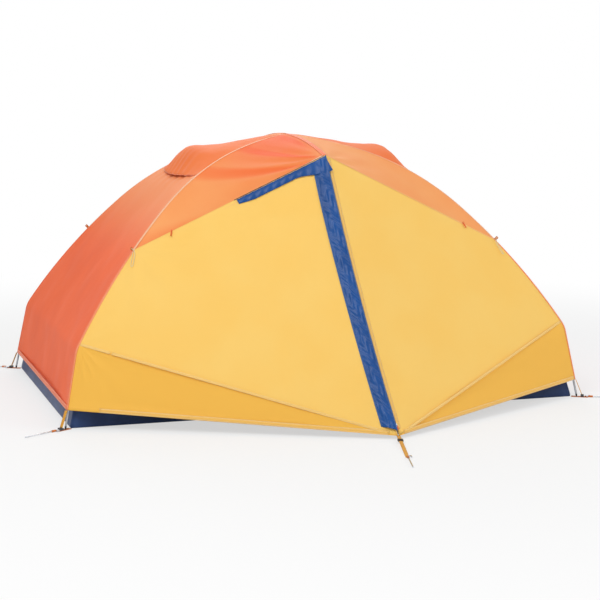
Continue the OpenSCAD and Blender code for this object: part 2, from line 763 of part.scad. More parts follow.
// Piece of the zip's arc from share v0 to v1; the profile's X runs from the arc's centre to the tent
module zip_arc(v0, v1) {
    in_zip_plane()
        translate([zip_centre[0], zip_centre[1], 0])
            rotate([0, 0, zip_from + 2*zip_half*v0])
                rotate_extrude(angle = 2*zip_half*(v1 - v0), $fn = 96)
                    translate([zip_r, 0])
                        children();
}
// Coil down the front edge, and a second one along the roof's edge to the zip's end
module zip() {
    run = apex - zip_top;
    color("#20242c") {
        zip_arc(0.006, 0.995) circle(r = coil_r);
        translate(toward(zip_top, apex, 4))
            rotate([0, 0, atan2(run[1], run[0])])
                rotate([0, 90 - atan2(run[2], norm([run[0], run[1]])), 0])
                    cylinder(h = norm(run) - 12, r = coil_r);
    }
}
slider_l = 16;
slider_w = 11;
slider_t = 4;
slider_v = 1 - 42/zip_c;
slider_v0 = slider_v - slider_l/2/zip_c;
slider_v1 = slider_v + slider_l/2/zip_c;
pin_lift = 2.2;
// Saddle that rides on the coil, with an eye for the pull on its back
module zip_slider() {
    low = coil_r*0.4;
    color("#8f9297")
        difference() {
            union() {
                zip_arc(slider_v0, slider_v1)
                    translate([-low - slider_t, -slider_w/2])
                        square([slider_t, slider_w]);
                pull_place() rotate([0, 90, 0]) cylinder(h = 7, r = 2.4, center = true);
            }
            zip_arc(slider_v0 - 0.01, slider_v1 + 0.01) circle(r = coil_r + seat);
            pull_place() rotate([0, 90, 0]) cylinder(h = 9, r = 1.2, center = true);
        }
}
// Frame of the pull's pin: X across the zip, Y towards the tent, Z down the zip
pull_v = slider_v;
function pull_arm() = zip_r - coil_r*0.4 - slider_t - pin_lift + 0.4;
module pull_place() {
    a = zip_from + 2*zip_half*pull_v;
    in_zip_plane()
        translate([zip_centre[0] + pull_arm()*cos(a), zip_centre[1] + pull_arm()*sin(a), 0])
            rotate([0, 0, a + 90])
                rotate([0, 90, 0])
                    rotate([0, 0, 180])
                        children();
}
// Pull: a wire pin through the eye, two arms and a flat tab hanging down the zip
pull_l = 18;
module zip_pull() {
    color("#d8772f")
        pull_place() {
            rotate([0, 90, 0]) cylinder(h = 11, r = 1.1, center = true);
            for (x = [-1, 1]) translate([x*4.9 - 0.8, -0.9, 0]) cube([1.6, 1.8, 8]);
            translate([-5.7, -0.9, 6]) cube([11.4, 1.8, pull_l - 6]);
        }
}

// Tie-back toggles below the roof's edge, each hung on a ring and lying down the fabric
toggle_l = 22;
toggle_r = 3;
toggle_up = 5.2;
module toggle_at(share, sx) {
    f = guy_frame(sx);
    n = f[3];
    translate(lerp(f[0], apex, share))
        rotate([0, acos(n[2]), atan2(n[1], n[0])]) {
            translate([4, 0, toggle_up]) rotate([0, 90, 0]) cylinder(h = toggle_l, r = toggle_r);
            translate([1, 0, toggle_up]) rotate([90, 0, 0]) ring_c(4.5, 2.7, 2);
        }
}
module ring_c(ro, ri, h) {
    difference() {
        cylinder(h = h, r = ro, center = true);
        cylinder(h = h + 2, r = ri, center = true);
    }
}
module tieback_toggles() {
    color("#e8641f")
        both_sides() {
            toggle_at(0.2, -1);
            toggle_at(0.2, 1);
        }
}

// ---- Guy points ----

tab_l = 16;
tab_hole = 11;
// Webbing tab that stands out of the seam at the vestibule's upper corner, with a hole for the cord
module guy_tab() {
    p = crease_sz(join_k);
    translate([p[0], 0, p[1]])
        rotate([0, slope(join_k), 0])
            difference() {
                translate([-6, -web_t/2, seat]) cube([12, web_t, tab_l]);
                translate([0, 0, tab_hole])
                    rotate([90, 0, 0])
                        cylinder(h = 6, r = cord_d/2 + 0.5, center = true);
            }
}
module guy_tabs() { color("#e8641f") each_corner() guy_tab(); }

// Frame of the fabric just below the join on side sx of the front: down the fabric, across it, and out of it
function guy_frame(sx) =
    let (j = crease(join_k, sx, -1),
         k = crease(join_k + 1, sx, -1),
         n0 = unit(cross(k - j, apex - j)),
         n = n0[1] < 0 ? n0 : -n0,
         down = unit([0, 0, -1] + n[2]*n))
    [j, down, cross(n, down)*sx, n];
module guy_cord(sx) {
    f = guy_frame(sx);
    color("#f3dfa0")
        tube([for (p = guy_route) f[0] + p[0]*f[1] + p[1]*f[2] + p[2]*f[3]], cord_d/2);
}

// ---- Corners, straps and pegs ----

tab_from = corner_s + 0.4;
tab_to = foot_s + 50;
tab_z = 0.4;
eyelet_t = 0.8;
// Webbing tab at a corner of the floor, with a grommet for the pole's foot
module corner_tabs() {
    color("#e0952e")
        each_corner()
            difference() {
                translate([tab_from, -web_w/2, tab_z]) cube([tab_to - tab_from, web_w, web_t]);
                translate([foot_s, 0, -1]) cylinder(h = 5, r = grommet_r + eyelet_t + slip);
            }
}
module grommets() {
    color("#c8cacd")
        each_corner()
            translate([foot_s, 0, tab_z - 0.2])
                ring(web_t + 0.4, grommet_r + eyelet_t, grommet_r);
}

peg_z = 4.6;
loop_r = peg_d/2 + 0.4;
loop_l = 20;
loop_s = tab_to + seat;
// Webbing tunnel that a peg is pushed through; X runs along the peg
module peg_loop() { translate([0, 0, peg_z]) rotate([0, 90, 0]) ring(loop_l, loop_r + web_t, loop_r); }
// Far end of the vestibule's strap, from the tip towards the peg
strap_l = 300;
strap_turn = -105;
strap_end = [tip[0], tip[1]] + strap_l*[cos(strap_turn), sin(strap_turn)];
module at_strap_end() { translate([strap_end[0], strap_end[1], 0]) rotate([0, 0, strap_turn]) children(); }
module peg_loops() {
    color("#e0952e") {
        each_corner() translate([loop_s, 0, 0]) peg_loop();
        both_sides() at_strap_end() translate([seat, 0, 0]) peg_loop();
    }
}

// Hooked peg, lying flat: X along the shank, the hook at its near end turned to +Y
hook_r = 7;
module peg() {
    translate([-2, 0, peg_z]) {
        rotate([0, 90, 0]) cylinder(h = peg_l, d = peg_d);
        translate([0, hook_r, 0])
            rotate([0, 0, 90])
                rotate_extrude(angle = 180, $fn = 96)
                    translate([hook_r, 0])
                        circle(d = peg_d);
        translate([0, 2*hook_r, 0]) rotate([0, 90, 0]) cylinder(h = 12, d = peg_d);
    }
}
module corner_peg() { color("#c9ccd1") translate([loop_s - 4, 0, 0]) peg(); }
module door_peg() { color("#c9ccd1") at_strap_end() translate([seat - 4, 0, 0]) peg(); }

// Strap from the fly's corner down to its buckle, which hooks on the corner tab
buckle_l = 14;
buckle_h = 8.7;
strap_top = leg_point(hem_z - 2, fly_off + 2);
strap_foot = [foot_s + 22, tab_z + web_t + 2*seat + buckle_h];

module fly_straps() {
    run = strap_foot - strap_top;
    color("#f2b03c")
        each_corner()
            translate([strap_top[0], -strap_w/2, strap_top[1]])
                rotate([0, -atan2(run[1], run[0]), 0])
                    cube([norm(run), strap_w, web_t]);
}
module fly_buckles() {
    color("#3a3b3f")
        each_corner()
            translate([strap_foot[0] - 5, 0, tab_z + web_t + seat])
                difference() {
                    translate([0, -strap_w/2 - 3, 0]) cube([buckle_l, strap_w + 6, buckle_h]);
                    translate([4, -strap_w/2, 3]) cube([buckle_l - 8, strap_w, buckle_h]);
                }
}

// Strap from the vestibule's tip to its peg, its end flat on the ground, and the adjuster that slides on it
strap_sewn = 10;
strap_flat = 22;
strap_slope = strap_l - strap_flat;
strap_tilt = atan2(tip_z - 2 - tab_z, strap_slope);
module along_strap() {
    translate([tip[0], tip[1], tip_z - 2])
        rotate([0, 0, strap_turn])
            rotate([0, strap_tilt, 0])
                children();
}
module vestibule_straps() {
    color("#f2b03c")
        both_sides() {
            along_strap()
                translate([-strap_sewn, -strap_w/2, 0])
                    cube([strap_sewn + strap_slope/cos(strap_tilt), strap_w, web_t]);
            at_strap_end()
                translate([-strap_flat - 1, -strap_w/2, tab_z])
                    cube([strap_flat + 1, strap_w, web_t]);
        }
}
lock_s = 48;
lock_l = 24;
lock_h = 5.5;
slot_w = strap_w + 2*seat;
module ladder_lock() {
    color("#2b2c2f")
        along_strap()
            translate([lock_s, 0, web_t/2 + 0.4])
                difference() {
                    translate([0, -strap_w/2 - 3.5, -lock_h/2]) cube([lock_l, strap_w + 7, lock_h]);
                    translate([-1, -slot_w/2, -lock_h/2 + 1.2]) cube([lock_l + 2, slot_w, 2.4]);
                    for (x = [4, 14]) translate([x, -slot_w/2, 0]) cube([6, slot_w, lock_h]);
                }
}

pole_a();
pole_b();
brow_pole();
pole_ferrules();
pole_tips();
shock_cords();
crossing_hub();
pole_clips();
floor_tub();
inner_end();  // inner_end_left
half_turn() inner_end();  // inner_end_right
inner_roof();
inner_side();  // inner_side_front
half_turn() inner_side();  // inner_side_back
inner_door();  // inner_door_front
half_turn() inner_door();  // inner_door_back
corner_tabs();
grommets();
fly_end();  // fly_end_left
half_turn() fly_end();  // fly_end_right
fly_roof();  // fly_roof_front
half_turn() fly_roof();  // fly_roof_back
vent_hood();  // vent_hood_left
half_turn() vent_hood();  // vent_hood_right
vent_mesh();
vent_prop();  // vent_prop_left
half_turn() vent_prop();  // vent_prop_right
vestibule();  // vestibule_front
half_turn() vestibule();  // vestibule_back
door_gusset();  // door_gusset_front
half_turn() door_gusset();  // door_gusset_back
fly_door();  // fly_door_front
half_turn() fly_door();  // fly_door_back
storm_flap();  // storm_flap_front
half_turn() storm_flap();  // storm_flap_back
zip();  // zip_front
half_turn() zip();  // zip_back
zip_slider();  // zip_slider_front
half_turn() zip_slider();  // zip_slider_back
zip_pull();  // zip_pull_front
half_turn() zip_pull();  // zip_pull_back
tieback_toggles();
guy_tabs();
fly_straps();
fly_buckles();
peg_loops();
vestibule_straps();
ladder_lock();  // ladder_lock_front
half_turn() ladder_lock();  // ladder_lock_back
on_front_left() corner_peg();  // peg_front_left
on_front_right() corner_peg();  // peg_front_right
half_turn() on_front_right() corner_peg();  // peg_back_left
half_turn() on_front_left() corner_peg();  // peg_back_right
door_peg();  // peg_door_front
half_turn() door_peg();  // peg_door_back
guy_cord(-1);  // guy_cord_front_left
guy_cord(1);  // guy_cord_front_right
half_turn() guy_cord(1);  // guy_cord_back_left
half_turn() guy_cord(-1);  // guy_cord_back_right
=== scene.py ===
"""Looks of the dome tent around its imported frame: cloth panels, seams, webbing, cords and finishes.

Metres, +Z up, in the frame of the CAD. The front (towards -Y) is made first, and the back is the front
turned half a turn about Z. Panels are grids worked out from the two pole lines, the ridge and the zip's arc.
"""

import bmesh
import bpy
import numpy as np
from mathutils import Euler, Matrix, Vector


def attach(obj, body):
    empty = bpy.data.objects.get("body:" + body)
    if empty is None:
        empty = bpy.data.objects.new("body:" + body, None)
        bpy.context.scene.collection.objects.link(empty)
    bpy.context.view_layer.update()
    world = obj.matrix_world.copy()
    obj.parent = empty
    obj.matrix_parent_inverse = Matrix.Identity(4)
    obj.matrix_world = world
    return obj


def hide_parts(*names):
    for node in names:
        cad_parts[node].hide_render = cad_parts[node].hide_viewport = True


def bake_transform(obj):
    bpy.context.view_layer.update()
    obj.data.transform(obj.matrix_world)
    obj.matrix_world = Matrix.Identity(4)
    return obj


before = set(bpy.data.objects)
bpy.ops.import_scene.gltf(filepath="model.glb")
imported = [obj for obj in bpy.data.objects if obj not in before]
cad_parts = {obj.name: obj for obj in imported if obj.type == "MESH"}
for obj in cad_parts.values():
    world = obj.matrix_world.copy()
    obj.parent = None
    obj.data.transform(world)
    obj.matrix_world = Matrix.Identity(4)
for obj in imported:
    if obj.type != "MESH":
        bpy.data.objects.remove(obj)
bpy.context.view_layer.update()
scene = bpy.context.scene

# ---- Sizes, in metres and degrees, the same as the CAD's ----

FLOOR_L, FLOOR_W = 2.240, 1.358
TUB_H = 0.150
POLE_H = 1.108
POLE_R = 0.00425
FOOT_GAP = 0.025
CROSS_RISE = 0.010
BROW_RISE = 0.018
TOP_ANGLE, LOW_ANGLE, LEG_ANGLE = np.radians([40.0, 54.4, 77.2])
KNEE_R = 0.116
LEG_L = 0.298
BROW_HALF = 0.540
BROW_R = 2.250
FLY_T = 0.0006
FLY_GAP = 0.0045
HEM_Z = 0.078
TIP = np.array([0.078, -FLOOR_W / 2 - 0.555, 0.014])
ZIP_SAG = 0.025
ZIP_END = 0.517
FOLD_SHARE = 0.1
FLAP_W = 0.055
CLIP_DROP = 0.030
BROW_DROP = 0.058
DOOR_W, DOOR_SIDE_H, DOOR_H, SILL_H = 0.760, 0.430, 0.700, 0.040
DOOR_CROWN = 0.060
WEB_W, STRAP_W, WEB_T = 0.025, 0.015, 0.0012
CORD_D = 0.0024
PEG_Z = 0.0046
HEM_W = 0.018
THREAD_W = 0.0006
SEAM_W = 0.012
KNEE_SEAM_W = 0.010
RIDGE_W = 0.026
ROOF_HEM_W = 0.014

# Steps of a pole's line: to 10 on the top bend, to 15 on the shoulder, to 18 round the knee, 19 at the hem
BRIM_K, SHOULDER_K, JOIN_K, KNEE_K, LEG_K, HEM_K = 7, 10, 12, 15, 18, 19
JOIN_SHARE = 0.32
LIFT_S = 0.320
HOOD_RISE = np.array([0, 3, 6, 15, 24, 42, 60, -12]) * 0.001
HOOD_OUT = np.array([0, 0, 0, 0, 0, 8, 28, 45]) * 0.001

CORNER = np.array([FLOOR_L, FLOOR_W]) / 2
DIAGONAL = np.arctan2(CORNER[1], CORNER[0])
FOOT_S = np.hypot(*CORNER) + FOOT_GAP
LOW_H, HIGH_H = POLE_H, POLE_H + CROSS_RISE
BROW_Z = HIGH_H + BROW_RISE
FLY_OFF = POLE_R + FLY_GAP + FLY_T
APEX_Y = BROW_HALF + 0.012
HALF_TURN = np.array([-1.0, -1.0, 1.0])
UP = np.array([0.0, 0.0, 1.0])


# ---- Lines of the frame ----


def unit(v):
    """Vectors scaled to length 1 along the last axis."""
    return v / np.maximum(np.linalg.norm(v, axis=-1, keepdims=True), 1e-12)


def lerp(a, b, u):
    """Points at share u from a to b; u may be an array."""
    u = np.asarray(u, float)[..., None]
    return a + (b - a) * u


def smooth(x):
    """Smoothstep of x held between 0 and 1."""
    x = np.clip(x, 0, 1)
    return x * x * (3 - 2 * x)


def slope(k):
    """Slope of a main pole at step k: it grows evenly on the top bend, on the shoulder and round the knee."""
    k = np.asarray(k, float)
    near = JOIN_SHARE * (k - SHOULDER_K) / 2
    far = JOIN_SHARE + (1 - JOIN_SHARE) * (k - JOIN_K) / 3
    shoulder = TOP_ANGLE + (LOW_ANGLE - TOP_ANGLE) * np.where(k <= JOIN_K, near, far)
    knee = LOW_ANGLE + (LEG_ANGLE - LOW_ANGLE) * (k - KNEE_K) / 3
    top = TOP_ANGLE * k / SHOULDER_K
    return np.select([k <= SHOULDER_K, k <= KNEE_K, k <= LEG_K], [top, shoulder, knee], LEG_ANGLE)


def pole_line(h, k, off):
    """Points [s, z] at steps k of the line off outside a pole's axis that crosses the peak at height h:
    three tangent arcs and a straight leg, whose first two radii bring it down to the foot."""
    k = np.asarray(k, float)
    s_top, z_top = np.sin(TOP_ANGLE), 1 - np.cos(TOP_ANGLE)
    s_low, z_low = np.sin(LOW_ANGLE) - s_top, np.cos(TOP_ANGLE) - np.cos(LOW_ANGLE)
    s = FOOT_S - KNEE_R * (np.sin(LEG_ANGLE) - np.sin(LOW_ANGLE)) - LEG_L * np.cos(LEG_ANGLE)
    z = h - KNEE_R * (np.cos(LOW_ANGLE) - np.cos(LEG_ANGLE)) - LEG_L * np.sin(LEG_ANGLE)
    r_top, r_low = np.linalg.solve([[s_top, s_low], [z_top, z_low]], [s, z])
    top = np.array([0, h - r_top])
    low = top + (r_top - r_low) * np.array([np.sin(TOP_ANGLE), np.cos(TOP_ANGLE)])
    knee = low + (r_low - KNEE_R) * np.array([np.sin(LOW_ANGLE), np.cos(LOW_ANGLE)])
    t = slope(k)[..., None]
    n = np.concatenate([np.sin(t), np.cos(t)], -1)
    on_top = k[..., None] <= SHOULDER_K
    on_low = k[..., None] <= KNEE_K
    below = np.where(on_low, low + (r_low + off) * n, knee + (KNEE_R + off) * n)
    return np.where(on_top, top + (r_top + off) * n, below)


def leg_point(z, off):
    """Point [s, z] on the leg at height z of the line off outside its axis."""
    return np.array([FOOT_S + off / np.sin(LEG_ANGLE) - z / np.tan(LEG_ANGLE), z])


def on_diagonal(p, sx, sy):
    """Points [s, z] stood over the diagonal that runs to the corner with signs sx and sy."""
    return np.stack([sx * p[..., 0] * np.cos(DIAGONAL), sy * p[..., 0] * np.sin(DIAGONAL), p[..., 1]], -1)


def edge_line(h, k, off, z_end):
    """A pole's line with its last step moved to height z_end on the leg."""
    k = np.asarray(k, float)
    body = pole_line(h, np.minimum(k, LEG_K), off)
    return body + (leg_point(z_end, off) - body) * np.clip(k - LEG_K, 0, 1)[..., None]


def crease(k, sx, sy):
    """The fly's seam over a main pole, lifted near the peak by the brow pole."""
    p = edge_line(HIGH_H, k, FLY_OFF, HEM_Z)
    lift = BROW_RISE * np.clip(1 - p[..., 0] / LIFT_S, 0, 1) ** 2
    return on_diagonal(p + np.stack([0 * lift, lift], -1), sx, sy)


def inner_edge(k, sx, sy):
    """The inner tent's edge, CLIP_DROP below the pole that runs to that corner."""
    return on_diagonal(edge_line(LOW_H if sx * sy > 0 else HIGH_H, k, -CLIP_DROP, TUB_H), sx, sy)


def brow_line(y, off):
    """Points off outside the brow pole at distances y in front of the peak."""
    y = np.asarray(y, float)
    z = BROW_Z - BROW_R + np.sqrt((BROW_R + off) ** 2 - y * y)
    return np.stack([0 * y, -y, z], -1)


APEX = brow_line(APEX_Y, FLY_OFF)
JOIN_L = crease(JOIN_K, -1, -1)
JOIN_R = crease(JOIN_K, 1, -1)
ZIP_TOP = lerp(JOIN_L, APEX, ZIP_END)
KNEE_L = crease(KNEE_K, -1, -1)
HEM_L = crease(HEM_K, -1, -1)
FOLD = lerp(KNEE_L, TIP, FOLD_SHARE)
DOOR_OUT = unit(np.cross(TIP - FOLD, ZIP_TOP - FOLD))
DOOR_OUT = DOOR_OUT * -np.sign(DOOR_OUT[1])


def zip_line(v):
    """The zip from the apex (v = 0) to the tip (v = 1): an arc that sags ZIP_SAG inwards in its own
    upright plane."""
    v = np.asarray(v, float)
    level = np.array([TIP[0] - APEX[0], TIP[1] - APEX[1]])
    chord = np.array([np.hypot(*level), TIP[2] - APEX[2]])
    c = np.hypot(*chord)
    r = c * c / (8 * ZIP_SAG) + ZIP_SAG / 2
    out = np.array([-chord[1], chord[0]]) / c
    centre = np.array([0, APEX[2]]) + chord / 2 + out * (r - ZIP_SAG)
    half = np.arcsin(c / 2 / r)
    a = np.arctan2(-out[1], -out[0]) - half + 2 * half * v
    q = centre[0] + r * np.cos(a)
    z = centre[1] + r * np.sin(a)
    along = unit(level)
    return np.stack([q * along[0], APEX[1] + q * along[1], z], -1)


def roof_edge(u, sx):
    """Lower edge of the roof from the join (u = 0) to the apex (u = 1). It hangs in a shallow curve down the
    door's face, deepest near the join, and deeper on the zip's side."""
    u = np.asarray(u, float)
    sag = (0.022 if sx < 0 else 0.006) * np.sin(np.pi * np.sqrt(np.clip(u, 0, 1)))
    down = unit(TIP - APEX)
    return lerp(JOIN_L if sx < 0 else JOIN_R, APEX, u) + down * sag[..., None]


# ---- Cloth ----


def slack(p, size, height, seed=0.0):
    """Soft unevenness of cloth: three crossed sine waves whose length is about size, added up to height."""
    a = np.sin((p @ np.array([0.9, 0.3, 0.5])) * 2 * np.pi / size + seed)
    b = np.sin((p @ np.array([-0.4, 0.8, 0.6])) * 2 * np.pi / (size * 0.73) + 1.7 * seed + a)
    c = np.sin((p @ np.array([0.5, -0.6, 0.7])) * 2 * np.pi / (size * 0.47) + 0.6 * seed + b)
    return height * (0.5 * a + 0.3 * b + 0.2 * c)


def pulls(p, corner, reach, count, height, seed=0.0):
    """Creases that fan out of a corner where the cloth is pulled: a sine of the angle round the corner,
    which fades out over the distance reach and starts a little way from the corner."""
    d = p - corner
    r = np.linalg.norm(d, axis=-1)
    mean = unit(d.reshape(-1, 3).mean(0))
    side = unit(np.cross(mean, [0.31, 0.67, 0.67]))
    angle = np.arctan2(d @ side, d @ mean)
    other = np.arctan2(d @ np.cross(side, mean), d @ mean)
    wave = np.sin(count * (angle + 0.4 * other) + seed)
    return height * wave * np.exp(-((r / reach) ** 2)) * smooth(r / 0.05)


def normals(p):
    """Unit normals of a grid from its differences along rows and columns."""
    return unit(np.cross(np.gradient(p, axis=0), np.gradient(p, axis=1)))


def outwards(p):
    """The grid with its rows in the order that makes its normals point away from the tent's middle."""
    i, j = p.shape[0] // 2, p.shape[1] // 2
    n = normals(p)[i, j]
    return p if n @ (p[i, j] - np.array([0, 0, 0.3])) > 0 else p[::-1]


def raised(p, height):
    """The grid moved along its outward normals by height, a number or one value a point."""
    q = outwards(p)
    h = np.asarray(height, float)
    h = h if q is p or h.ndim < 2 else h[::-1]
    moved = q + normals(q) * (h[..., None] if h.ndim else h)
    return moved if q is p else moved[::-1]


def held(p, a=1.0, b=1.0, c=1.0, d=1.0):
    """Weights over a grid that fall to 0 at its held edges: first and last row, first and last column."""
    u = np.linspace(0, 1, p.shape[0])[:, None]
    v = np.linspace(0, 1, p.shape[1])[None, :]
    w = np.ones(p.shape[:2])
    w = w * np.where(a, smooth(u / 0.12), 1) * np.where(b, smooth((1 - u) / 0.12), 1)
    return w * np.where(c, smooth(v / 0.12), 1) * np.where(d, smooth((1 - v) / 0.12), 1)


def ruled(a, b, n):
    """Grid of n columns of straight lines from curve a to curve b."""
    return lerp(a[:, None, :], b[:, None, :], np.linspace(0, 1, n)[None, :])


def mesh_piece(name, points, faces, uv, material, thickness=0.0, tone=None, merge=1e-5):
    """A mesh from points, quads and a UV pair for each point, doubles merged, smooth; Solidify gives it its
    thickness inwards. tone, one value a point, is the share of its material's deep colour of painted light
    and shade."""
    mesh = bpy.data.meshes.new(name)
    mesh.from_pydata(points.reshape(-1, 3), [], faces)
    if tone is not None:
        values = mesh.attributes.new("tone", "FLOAT", "POINT")
        values.data.foreach_set("value", np.broadcast_to(tone, points.shape[:-1]).ravel().astype(np.float32))
    layer = mesh.uv_layers.new(name="cloth")
    index = np.zeros(len(mesh.loops), int)
    mesh.loops.foreach_get("vertex_index", index)
    layer.data.foreach_set("uv", uv.reshape(-1, 2)[index].ravel())
    work = bmesh.new()
    work.from_mesh(mesh)
    bmesh.ops.remove_doubles(work, verts=work.verts, dist=merge)
    work.to_mesh(mesh)
    work.free()
    mesh.shade_smooth()
    mesh.materials.append(material)
    piece = bpy.data.objects.new(name, mesh)
    scene.collection.objects.link(piece)
    if thickness:
        solid = piece.modifiers.new("thickness", "SOLIDIFY")
        solid.thickness = thickness
        solid.offset = -1
    return piece


def grid_faces(rows, cols, close_cols=False):
    """Quads of a grid of points, closed round its columns where asked."""
    i, j = np.meshgrid(np.arange(rows - 1), np.arange(cols - (not close_cols)), indexing="ij")
    i2, j2 = i + 1, (j + 1) % cols
    quads = np.stack([i * cols + j, i2 * cols + j, i2 * cols + j2, i * cols + j2], -1)
    return quads.reshape(-1, 4).tolist()


def grid_uv(p):
    """UV in metres: mean running length along the rows and along the columns."""
    u = np.linalg.norm(np.diff(p, axis=0), axis=-1).mean(1)
    v = np.linalg.norm(np.diff(p, axis=1), axis=-1).mean(0)
    u = np.concatenate([[0], np.cumsum(u)])
    v = np.concatenate([[0], np.cumsum(v)])
    return np.stack(np.broadcast_arrays(v[None, :], u[:, None]), -1)


def cloth(name, p, material, thickness=FLY_T, tone=None):
    """A piece of cloth from a grid of points on its outer face."""
    q = outwards(p)
    tone = tone if q is p or tone is None else np.broadcast_to(tone, p.shape[:2])[::-1]
    return mesh_piece(name, q, grid_faces(*q.shape[:2]), grid_uv(q), material, thickness, tone)


def ribbon(name, rows, material, thickness=0.0009):
    """A strip from a few lines of points side by side, each an array along it. Its UV holds the running
    length and the distance from its middle, so that stitches can follow it."""
    p = outwards(np.stack(rows, 1))
    uv = grid_uv(p)
    uv[..., 0] -= uv[..., 0].max() / 2
    return mesh_piece(name, p, grid_faces(*p.shape[:2]), uv, material, thickness)


def side_of(edge, other):
    """Unit vectors from an edge towards another line of the same panel, square to the edge."""
    t = unit(np.gradient(edge, axis=0))
    d = other - edge
    return unit(d - t * (d * t).sum(-1, keepdims=True))


def seam(name, edge, left, right, width, material, lift=0.0008):
    """A lapped seam along an edge: five lines, two on each panel and one on the edge, lifted off the cloth.
    left and right are unit vectors into the two panels."""
    t = unit(np.gradient(edge, axis=0))
    rows = []
    for side, share in ((left, 1.0), (left, 0.5), (None, 0), (right, 0.5), (right, 1.0)):
        if side is None:
            both = unit(left + right)
            away = np.where(((edge - [0, 0, 0.3]) * both).sum(-1, keepdims=True) > 0, both, -both)
            rows.append(edge + away * lift * 1.1)
        else:
            n = np.cross(t, side)
            n = n * np.sign((n * (edge - [0, 0, 0.3])).sum(-1, keepdims=True))
            rows.append(edge + side * width / 2 * share + n * lift * (1.3 - 0.5 * share))
    return ribbon(name, rows, material)


def hem(name, edge, side, width, material):
    """A folded hem: a strip that starts on the free edge, wraps over it and runs width up the panel."""
    t = unit(np.gradient(edge, axis=0))
    n = np.cross(t, side)
    n = n * np.sign((n * (edge - [0, 0, 0.3])).sum(-1, keepdims=True))
    profile = ((0, 0.0008), (0.15, 0.0014), (0.5, 0.0012), (1, 0.0007))
    rows = [edge + side * width * s + n * h for s, h in profile]
    return ribbon(name, rows, material)


def strap(name, path, across, width, material, thickness=WEB_T):
    """Flat webbing along a path: two lines at half its width on each side, with a slightly raised middle."""
    n = unit(np.cross(across, np.gradient(path, axis=0)))
    profile = ((-0.5, 0), (-0.2, 0.0002), (0.2, 0.0002), (0.5, 0))
    rows = [path + across * width * s + n * h for s, h in profile]
    p = np.stack(rows, 1)
    uv = grid_uv(p)
    uv[..., 0] -= uv[..., 0].max() / 2
    return mesh_piece(name, p, grid_faces(*p.shape[:2]), uv, material, thickness)


def tube(name, path, radius, material, sides=10):
    """A round tube of a radius, or one radius a point, along a path. Its rings turn with the path by
    projecting one fixed direction, and its ends are closed."""
    t = unit(np.gradient(path, axis=0))
    a = unit(np.cross(t, [0.31, 0.67, 0.67]))
    b = np.cross(a, t)
    w = np.linspace(0, 2 * np.pi, sides, endpoint=False)
    radius = np.broadcast_to(np.asarray(radius, float), len(path))
    ring = a[:, None] * np.cos(w)[:, None] + b[:, None] * np.sin(w)[:, None]
    p = path[:, None] + ring * radius[:, None, None]
    run = np.concatenate([[0], np.cumsum(np.linalg.norm(np.diff(path, axis=0), axis=-1))])
    uv = np.stack(np.broadcast_arrays(w[None, :] / 2 / np.pi, run[:, None]), -1)
    last = (p.shape[0] - 1) * sides
    faces = grid_faces(*p.shape[:2], close_cols=True)
    faces += [list(range(sides)), [last + j for j in reversed(range(sides))]]
    return mesh_piece(name, p, faces, uv, material)


def stretched(piece, p, *rests_on):
    """Hands back the panel as it is; p and rests_on are not used."""
    return piece


# ---- Materials ----


def linear(hex_colour):
    """sRGB hex to linear RGBA."""
    c = np.array([int(hex_colour[i : i + 2], 16) for i in (1, 3, 5)]) / 255
    rgb = np.where(c <= 0.04045, c / 12.92, ((c + 0.055) / 1.055) ** 2.4)
    return (*rgb.tolist(), 1.0)


def add(tree, kind, inputs=(), **settings):
    """Adds a node of a kind; inputs maps sockets to values or to the sockets that feed them."""
    n = tree.nodes.new(kind)
    for key, value in settings.items():
        setattr(n, key, value)
    for key, value in dict(inputs).items():
        named = [s for s in n.inputs if s.name == key and s.enabled]
        socket = named[0] if named else n.inputs[key]
        if isinstance(value, bpy.types.NodeSocket):
            tree.links.new(value, socket)
        else:
            socket.default_value = value
    return n


def colour_mix(tree, share, a, b):
    """Colour socket that goes from a to b with share."""
    n = add(tree, "ShaderNodeMix", {"Factor": share, "A": a, "B": b}, data_type="RGBA")
    return next(s for s in n.outputs if s.name == "Result" and s.enabled)


def material(name, roughness, metallic=0.0, **sockets):
    """A new material with a Principled shader, its tree and its shader node."""
    m = bpy.data.materials.new(name)
    m.use_nodes = True
    tree = m.node_tree
    shader = tree.nodes["Principled BSDF"]
    shader.inputs["Roughness"].default_value = roughness
    shader.inputs["Metallic"].default_value = metallic
    for key, value in sockets.items():
        shader.inputs[key.replace("_", " ")].default_value = value
    return m, tree, shader


def two_tone(tree, vector, a, b, size, detail=3.0, low=0.35, high=0.65):
    """Colour that wanders between two hex colours in patches of about size metres."""
    noise = add(tree, "ShaderNodeTexNoise", {"Vector": vector, "Scale": 1 / size, "Detail": detail})
    ramp = add(tree, "ShaderNodeValToRGB", {"Fac": noise.outputs["Fac"]})
    ramp.color_ramp.elements[0].position = low
    ramp.color_ramp.elements[1].position = high
    ramp.color_ramp.elements[0].color = linear(a)
    ramp.color_ramp.elements[1].color = linear(b)
    return ramp.outputs["Color"]


def thread_height(tree, uv, pitch):
    """Height of a plain weave: the product of two crossed waves, one thread each pitch metres."""
    waves = [
        add(tree, "ShaderNodeTexWave", {"Vector": uv, "Scale": 1 / pitch / 10}, bands_direction=d)
        for d in ("X", "Y")
    ]
    both = {0: waves[0].outputs["Fac"], 1: waves[1].outputs["Fac"]}
    return add(tree, "ShaderNodeMath", both, operation="MULTIPLY").outputs[0]


